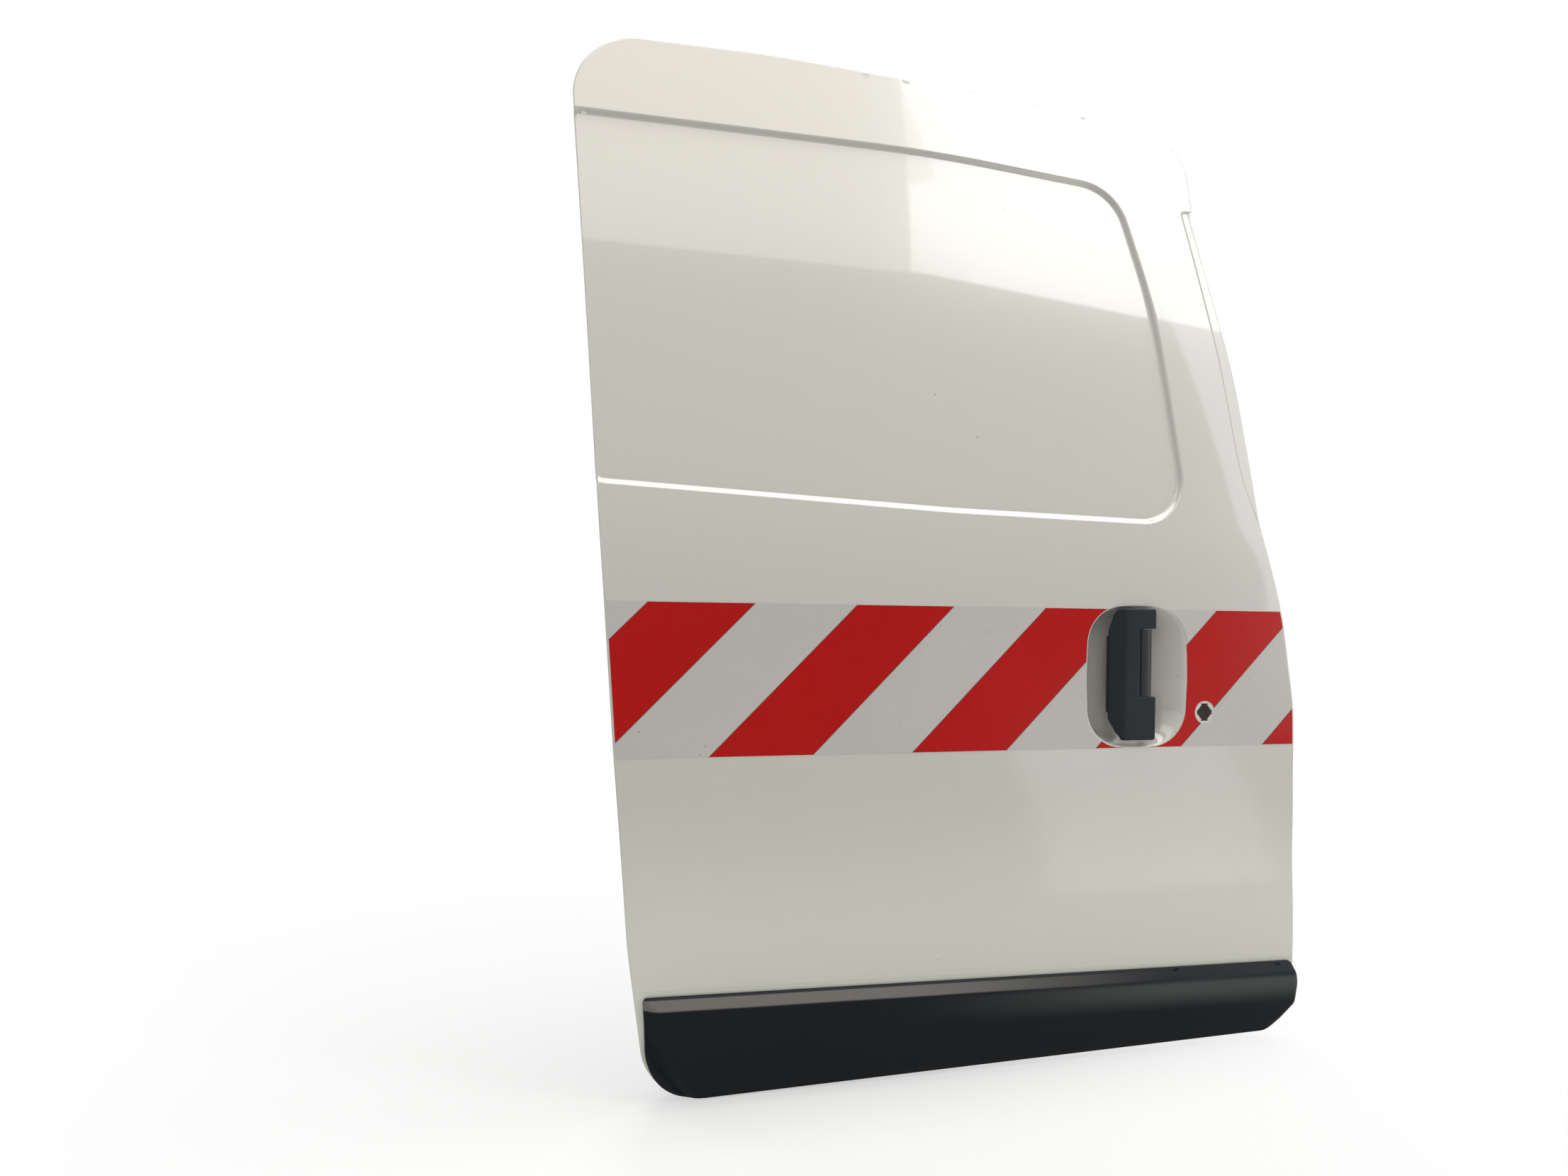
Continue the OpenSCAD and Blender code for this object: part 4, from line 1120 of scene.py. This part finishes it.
def plastic(name, color, worn, roughness, grain, grainSize, specular=0.5, paintedSheen=False):
    f = Finish(name, color, roughness, **{"Specular IOR Level": specular})
    tone = f.tint(f.noise(6.0, 4.0), color, worn)
    # Painted reflections: the bevel is lightened at the left, and a band below it at the right
    if paintedSheen:
        w = mouldSheen
        along = f.axes()[0]
        x, z = f.drawn()
        below = mould["topZ"] - z - x * math.tan(math.radians(mould["fall"]))
        bevelFoot = (mould["bevel"], mould["bevel"] - w["bevelFoot"])
        bevel = f.step(below, *w["bevelTop"]) * f.step(below, *bevelFoot)
        tone = f.tint(bevel * f.step(along, *w["bevelAlong"]), tone, w["bevel"])
        band = f.step(below, *w["bandTop"]) * f.step(below, *w["bandFoot"])
        tone = f.tint(band * f.step(along, *w["bandAlong"]), tone, w["band"])
    tone = f.tint(specks(f, *dust["specks"]) * dust["share"], tone, dust["color"])
    f.base(tone)
    f.rough(f.noise(26.0, 4.0) * 0.16 + roughness - 0.08)
    f.bump(f.cells(grainSize), grain, 0.6)
    return f.mat


# Reflective film: fine honeycomb under a clear face, grimy where stripes meet
comb = {"cells": 420, "evenness": 0.35, "wall": 0.12, "share": 0.14, "specks": (52, 0.05, 0.5),
        "speckShare": 0.7, "speck": (0.06, 0.05, 0.05), "grime": (0.05, 0.04, 0.038),
        "grimeEdges": (0.004, 0.011), "grimeRagged": 0.004}


def film(name, color, deep, roughness, edge):
    f = Finish(name, color, roughness, **{"Coat Weight": 0.05, "Coat Roughness": 0.1,
                                          "Specular IOR Level": 0.2})
    x, z = f.drawn()
    phase = (x - tape["start"] + (tape["high"] - z)) / tape["pitch"]
    fraction = f.node("ShaderNodeMath", {"operation": "FRACT"}, {0: phase * 2 + 20})
    border = f.node("ShaderNodeMath", {"operation": "PINGPONG"}, {0: fraction, 1: 0.5})
    tone = f.tint(f.noise(5.0, 4.0), color, deep)
    c = comb
    clear = f.step(f.cells(c["cells"], "DISTANCE_TO_EDGE", c["evenness"]), 0.0, c["wall"])
    tone = f.tint((1 - clear) * c["share"], tone, deep)
    seam = border + f.noise(30.0, 3.0) * c["grimeRagged"]
    tone = f.tint((1 - f.step(seam, *c["grimeEdges"])) * edge, tone, c["grime"])
    tone = f.tint(specks(f, *c["specks"]) * c["speckShare"], tone, c["speck"])
    f.base(tone)
    f.rough(f.noise(18.0, 4.0) * 0.12 + roughness - 0.05)
    f.bump(f.noise(55.0, 3.0), 0.00025, 0.5)
    return f.mat


finishes = {
    "white_paint": gloss(),
    "white_paint_inner": plain("innerPaint"),
    "primed_steel": plain("primedSteel"),
    "dark_coated_steel": plain("coatedSteel"),
    "zinc_plated_steel": plain("zincPlate"),
    "yellow_zinc_steel": plain("yellowZinc"),
    "spring_steel": plain("springSteel"),
    "black_plastic": plastic("blackPlastic", (0.022, 0.025, 0.028), (0.035, 0.037, 0.04), 0.42,
                             0.00012, 900),
    "slate_plastic": plastic("slatePlastic", (0.012, 0.016, 0.020), (0.018, 0.023, 0.028), 0.36,
                             0.00008, 1300, 0.25),
    "moulding_plastic": plastic("mouldingPlastic", (0.0065, 0.0085, 0.0125),
                                (0.0105, 0.0125, 0.017), 0.40, 0.00006, 1400, 0.22, True),
    "rubber": plain("rubberSeal"),
    "mastic": plain("masticPad"),
    "white_film": film("whiteFilm", (0.52, 0.50, 0.48), (0.44, 0.425, 0.405), 0.28, 0.5),
    "red_film": film("redFilm", (0.455, 0.005, 0.004), (0.37, 0.004, 0.003), 0.26, 0.85),
}
print("materials", len(finishes))


def dress(obj, slot, body, *nodes):
    obj.data.materials.clear()
    obj.data.materials.append(finishes[slot])
    if nodes:
        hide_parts(*nodes)
    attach(obj, body)


dress(outerSkin, "white_paint", "door", "outer_skin")
dress(innerPanel, "white_paint_inner", "door", "inner_panel", "panel_flange")
dress(tapeWhite, "white_film", "door", "tape_white")
dress(tapeRed, "red_film", "door", "tape_red")
dress(lowerMoulding, "moulding_plastic", "door", "lower_moulding")
dress(insideBezel, "black_plastic", "door", "inside_handle_base")
dress(insideLever, "black_plastic", "door", "inside_handle_lever")
handleGrip = joined("gripShell", gripPieces)
dress(handleGrip, "slate_plastic", "handle", "handle_grip")

# Fixings that repeat: a node tree sets one on each spot, turned to its surface
fixings = {
    "plug": [(0, 3.1), (5, 3.0), (8.6, 2.4), (9.4, 1.5), (13, 1.2), (13.6, 0.4), (13.4, -0.3)],
    "weld": [(0, 0.12), (1.1, 0.14), (1.8, 0.34), (2.3, 0.36), (2.8, 0.14), (2.9, -0.2)],
    "washer": [(0, 1.3), (7.2, 1.2), (7.6, 0.8), (7.6, -0.3)],
    "hex": [(0, 4.9), (3.9, 5.0), (4.7, 4.7), (5.3, 4.2), (5.3, 1.0)],
    "seed": 7,
    "plugSpots": [(60, 250), (66, 400), (470, 160), (910, 250), (905, 590), (120, 820), (330, 820),
                  (560, 820), (240, 600), (560, 440)],
    "screwSpots": [(-5, 690), (-5, 668), (925, 655), (925, 500), (815, 150), (210, 150)],
    "weldInset": 14.2, "weldGap": 42, "flangeDepth": 2.4,
}


# Surface of revolution about z from (radius, height) pairs in millimetres
def turned(profile, count=20, start=0.0):
    verts, faces = [(0, 0, profile[0][1] / 1000)], []
    for r, h in profile[1:]:
        for k in range(count):
            a = start + 2 * math.pi * k / count
            verts.append((r * math.cos(a) / 1000, r * math.sin(a) / 1000, h / 1000))
    for k in range(count):
        faces.append((0, 1 + k, 1 + (k + 1) % count))
    for row in range(len(profile) - 2):
        near, far = 1 + row * count, 1 + (row + 1) * count
        for k in range(count):
            other = (k + 1) % count
            faces.append((near + k, far + k, far + other, near + other))
    return verts, faces


def pattern(name, *shapes):
    verts, faces = [], []
    for points, sides in shapes:
        faces += [tuple(k + len(verts) for k in side) for side in sides]
        verts += points
    mesh = bpy.data.meshes.new(name)
    mesh.from_pydata(verts, [], faces)
    mesh.shade_smooth()
    mesh.set_sharp_from_angle(angle=math.radians(40))
    return addObject(name, mesh)


def settingTree():
    tree = bpy.data.node_groups.new("settingTree", "GeometryNodeTree")
    for name, kind in (("Spots", "Geometry"), ("Piece", "Object"), ("Finish", "Material"),
                       ("Seed", "Int")):
        tree.interface.new_socket(name=name, in_out="INPUT", socket_type="NodeSocket" + kind)
    tree.interface.new_socket(name="Result", in_out="OUTPUT", socket_type="NodeSocketGeometry")
    made = {key: tree.nodes.new(kind) for key, kind in (
        ("start", "NodeGroupInput"), ("end", "NodeGroupOutput"),
        ("piece", "GeometryNodeObjectInfo"), ("outward", "GeometryNodeInputNamedAttribute"),
        ("align", "FunctionNodeAlignRotationToVector"), ("chance", "FunctionNodeRandomValue"),
        ("spin", "FunctionNodeAxisAngleToRotation"), ("both", "FunctionNodeRotateRotation"),
        ("put", "GeometryNodeInstanceOnPoints"), ("real", "GeometryNodeRealizeInstances"),
        ("dress", "GeometryNodeSetMaterial"))}
    made["outward"].data_type = "FLOAT_VECTOR"
    made["outward"].inputs["Name"].default_value = "outward"
    made["align"].axis = "Z"
    made["chance"].data_type = "FLOAT"
    made["chance"].inputs[3].default_value = math.tau
    made["both"].rotation_space = "LOCAL"
    for (first, out), (second, slot) in (
            (("start", "Spots"), ("put", "Points")), (("start", "Piece"), ("piece", "Object")),
            (("start", "Seed"), ("chance", "Seed")), (("piece", "Geometry"), ("put", "Instance")),
            (("outward", "Attribute"), ("align", "Vector")), (("chance", 1), ("spin", "Angle")),
            (("align", "Rotation"), ("both", "Rotation")),
            (("spin", "Rotation"), ("both", "Rotate By")),
            (("both", "Rotation"), ("put", "Rotation")),
            (("put", "Instances"), ("real", "Geometry")),
            (("real", "Geometry"), ("dress", "Geometry")),
            (("start", "Finish"), ("dress", "Material")), (("dress", "Geometry"), ("end", 0))):
        tree.links.new(made[first].outputs[out], made[second].inputs[slot])
    return tree


def setOut(name, tree, piece, spots, slot):
    points, outward = spots
    mesh = bpy.data.meshes.new(name)
    mesh.from_pydata([tuple(v) for v in toFrame(points)], [], [])
    layer = mesh.attributes.new("outward", "FLOAT_VECTOR", "POINT")
    layer.data.foreach_set("vector", np.asarray(outward, float).ravel())
    obj = addObject(name, mesh)
    mod = obj.modifiers.new(name, "NODES")
    mod.node_group = tree
    given = {"Piece": piece, "Finish": finishes[slot], "Seed": fixings["seed"]}
    for item in tree.interface.items_tree:
        if item.name in given:
            mod[item.identifier] = given[item.name]
    bpy.context.view_layer.update()
    applied(obj)
    dress(obj, slot, "door")
    print(name, len(points), len(obj.data.polygons))


# Spots on a surface given by its depth, with the direction out of it into the van
def spotsOn(pairs, depth):
    p = np.asarray(pairs, float)
    return ringRow(p, depth(p)), -depthNormals(p, depth, 1.0)


def flangeDepth(points):
    return faceDepth(points) + fixings["flangeDepth"]


def buildFixings():
    tree = settingTree()
    plug = pattern("plugPattern", turned(fixings["plug"], 28))
    weld = pattern("weldPattern", turned(fixings["weld"], 14))
    screw = pattern("screwPattern", turned(fixings["washer"], 24), turned(fixings["hex"], 6))
    setOut("rubberPlugs", tree, plug, spotsOn(fixings["plugSpots"], innerDepth), "rubber")
    setOut("faceScrews", tree, screw, spotsOn(fixings["screwSpots"], innerDepth),
           "zinc_plated_steel")
    around = insetCorners(frameCorners, fixings["weldInset"])
    loop = loneRing(around, fixings["weldGap"])
    setOut("spotWelds", tree, weld, spotsOn(loop, flangeDepth), "white_paint_inner")
    for piece in (plug, weld, screw):
        bpy.data.objects.remove(piece)


buildFixings()

# Carried-over pieces and their finishes
nodeFinish = {
    "waist_beam": "primed_steel", "crash_tube": "dark_coated_steel",
    "crash_tube_brackets": "primed_steel", "skin_brace": "primed_steel", "mastic_pads": "mastic",
    "centre_hinge_bracket": "dark_coated_steel", "upper_arm_bracket": "dark_coated_steel",
    "lower_arm_bracket": "dark_coated_steel", "front_latch": "zinc_plated_steel",
    "rear_latch": "zinc_plated_steel", "handle_carrier": "black_plastic", "handle_gasket": "rubber",
    "handle_pin": "zinc_plated_steel", "handle_spring": "spring_steel",
    "front_claw": "yellow_zinc_steel", "rear_claw": "yellow_zinc_steel",
    "guide_pins": "zinc_plated_steel", "rubber_buffers": "rubber",
}
for node, slot in nodeFinish.items():
    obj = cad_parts[node]
    obj.data.materials.clear()
    obj.data.materials.append(finishes[slot])
print("pieces dressed")

# Floor and surroundings: white where the camera looks past the door's soft shadow. Reflections
# see a dim ground instead, with daylight on it at the front between two slanting sides.
stage = {"reach": 9, "floor": (0.84, 0.84, 0.83), "near": 0.5, "far": 1.5, "lift": 0.5,
         "patch": 1.0, "ground": (0.19, 0.20, 0.18, 1), "groundShare": 0.85,
         "light": (0.86, 0.89, 0.94, 1), "level": 0.36, "dayFront": (-0.47, -0.52),
         "daySides": [(0.46, 0.57, 0.65), (0.69, 1.06, 0.96)]}


def makeFloor():
    z = cadBox[0][2] - 0.0005
    r = stage["reach"]
    mesh = bpy.data.meshes.new("floor")
    mesh.from_pydata([(-r, -r, z), (r, -r, z), (r, r, z), (-r, r, z)], [], [(0, 1, 2, 3)])
    floor = addObject("floor", mesh)
    f = Finish("paleFloor", stage["floor"], 0.6)
    f.base(f.tint(f.noise(3.0, 4.0), stage["floor"], (0.81, 0.81, 0.80)))
    x, y, z = f.axes()
    away = f.node("ShaderNodeVectorMath", {"operation": "LENGTH"}, {0: f.spot}, out="Value")
    direct = f.node("ShaderNodeLightPath", out="Is Camera Ray")
    glossy = f.node("ShaderNodeLightPath", out="Is Glossy Ray")
    clear = f.step(away, stage["near"], stage["far"])
    lift = direct * (clear * (1 - stage["lift"]) + stage["lift"])
    daylight = f.step(y, *stage["dayFront"])
    for lean, dark, light in stage["daySides"]:
        daylight = daylight * f.step(x + y * lean, dark, light)
    full = (1, 1, 1, 1)
    white = f.node("ShaderNodeEmission", values={"Color": full, "Strength": 1.0})
    bright = f.node("ShaderNodeEmission", values={"Color": full, "Strength": stage["patch"]})
    own = Ink(f.tree, f.shader.outputs["BSDF"])
    dim = f.node("ShaderNodeEmission", values={"Color": stage["ground"], "Strength": 1.0})
    own = f.node("ShaderNodeMixShader", values={0: glossy * stage["groundShare"], 1: own, 2: dim})
    seen = f.node("ShaderNodeMixShader", values={0: lift, 1: own, 2: white})
    seen = f.node("ShaderNodeMixShader", values={0: glossy * daylight, 1: seen, 2: bright})
    f.feed(f.tree.nodes["Material Output"].inputs["Surface"], seen)
    floor.data.materials.append(f.mat)


def makeWorld():
    world = bpy.data.worlds.new("softRoom")
    bpy.context.scene.world = world
    world.use_nodes = True
    nodes, links = world.node_tree.nodes, world.node_tree.links
    back = nodes["Background"]
    back.inputs["Color"].default_value = stage["light"]
    back.inputs["Strength"].default_value = stage["level"]
    white = nodes.new("ShaderNodeBackground")
    white.inputs["Color"].default_value = (1, 1, 1, 1)
    white.inputs["Strength"].default_value = 1.0
    path = nodes.new("ShaderNodeLightPath")
    add = nodes.new("ShaderNodeMath")
    add.operation = "MAXIMUM"
    links.new(path.outputs["Is Camera Ray"], add.inputs[0])
    links.new(path.outputs["Is Transmission Ray"], add.inputs[1])
    mix = nodes.new("ShaderNodeMixShader")
    links.new(add.outputs[0], mix.inputs[0])
    links.new(back.outputs[0], mix.inputs[1])
    links.new(white.outputs[0], mix.inputs[2])
    links.new(mix.outputs[0], nodes["World Output"].inputs["Surface"])


# Lamps as upright panels: name, middle in x and z, size, depth, lean in degrees, radiance, colour
ceiling = {"size": (8400, 2600), "radiance": 4.5, "color": (1.0, 0.99, 0.97),
           "place": (2000, -300, 7000)}
lamps = [
    ("daylight", (2880, 4900), (1900, 3500), -2450, 9, 5.4, (1.0, 1.0, 0.99)),
    ("warmRoom", (-370, 4850), (4660, 3100), -2450, 0, 2.05, (1.0, 0.92, 0.80)),
    ("frontDoor", (4420, 1700), (2900, 3300), -2450, 0, 2.0, (1.0, 1.0, 0.99)),
    ("leftFill", (-1200, 1950), (2200, 2500), -2450, 0, 0.6, (1.0, 0.99, 0.96)),
    ("inside", (1100, 2400), (2000, 1800), 2500, 0, 3.4, (1.0, 0.99, 0.97)),
    ("insideRear", (-1900, 1200), (1400, 1800), 1900, 0, 2.4, (0.96, 0.98, 1.0)),
]


def addLamp(name, size, radiance, color, spot, turn):
    data = bpy.data.lights.new(name, "AREA")
    data.shape = "RECTANGLE"
    data.size, data.size_y = size[0] / 1000, size[1] / 1000
    data.energy = radiance * math.pi * data.size * data.size_y
    data.color = color
    obj = addObject(name, data)
    obj.location = spot
    obj.rotation_euler = turn.to_euler()


def makeLamps():
    for name, (x, z), size, y, lean, radiance, color in lamps:
        turn = Vector((0, -y, 0)).to_track_quat("-Z", "Y")
        turn = Quaternion((0, 1, 0), math.radians(lean)) @ turn
        addLamp(name, size, radiance, color, place(x, y, z), turn)
    # Light from the ceiling, seen in the slopes that face up
    over = Vector((0, 0, -1)).to_track_quat("-Z", "Y")
    c = ceiling
    addLamp("ceiling", c["size"], c["radiance"], c["color"], place(*c["place"]), over)


makeFloor()
makeWorld()
makeLamps()
bpy.context.scene.view_settings.view_transform = "Standard"
print("stage set")
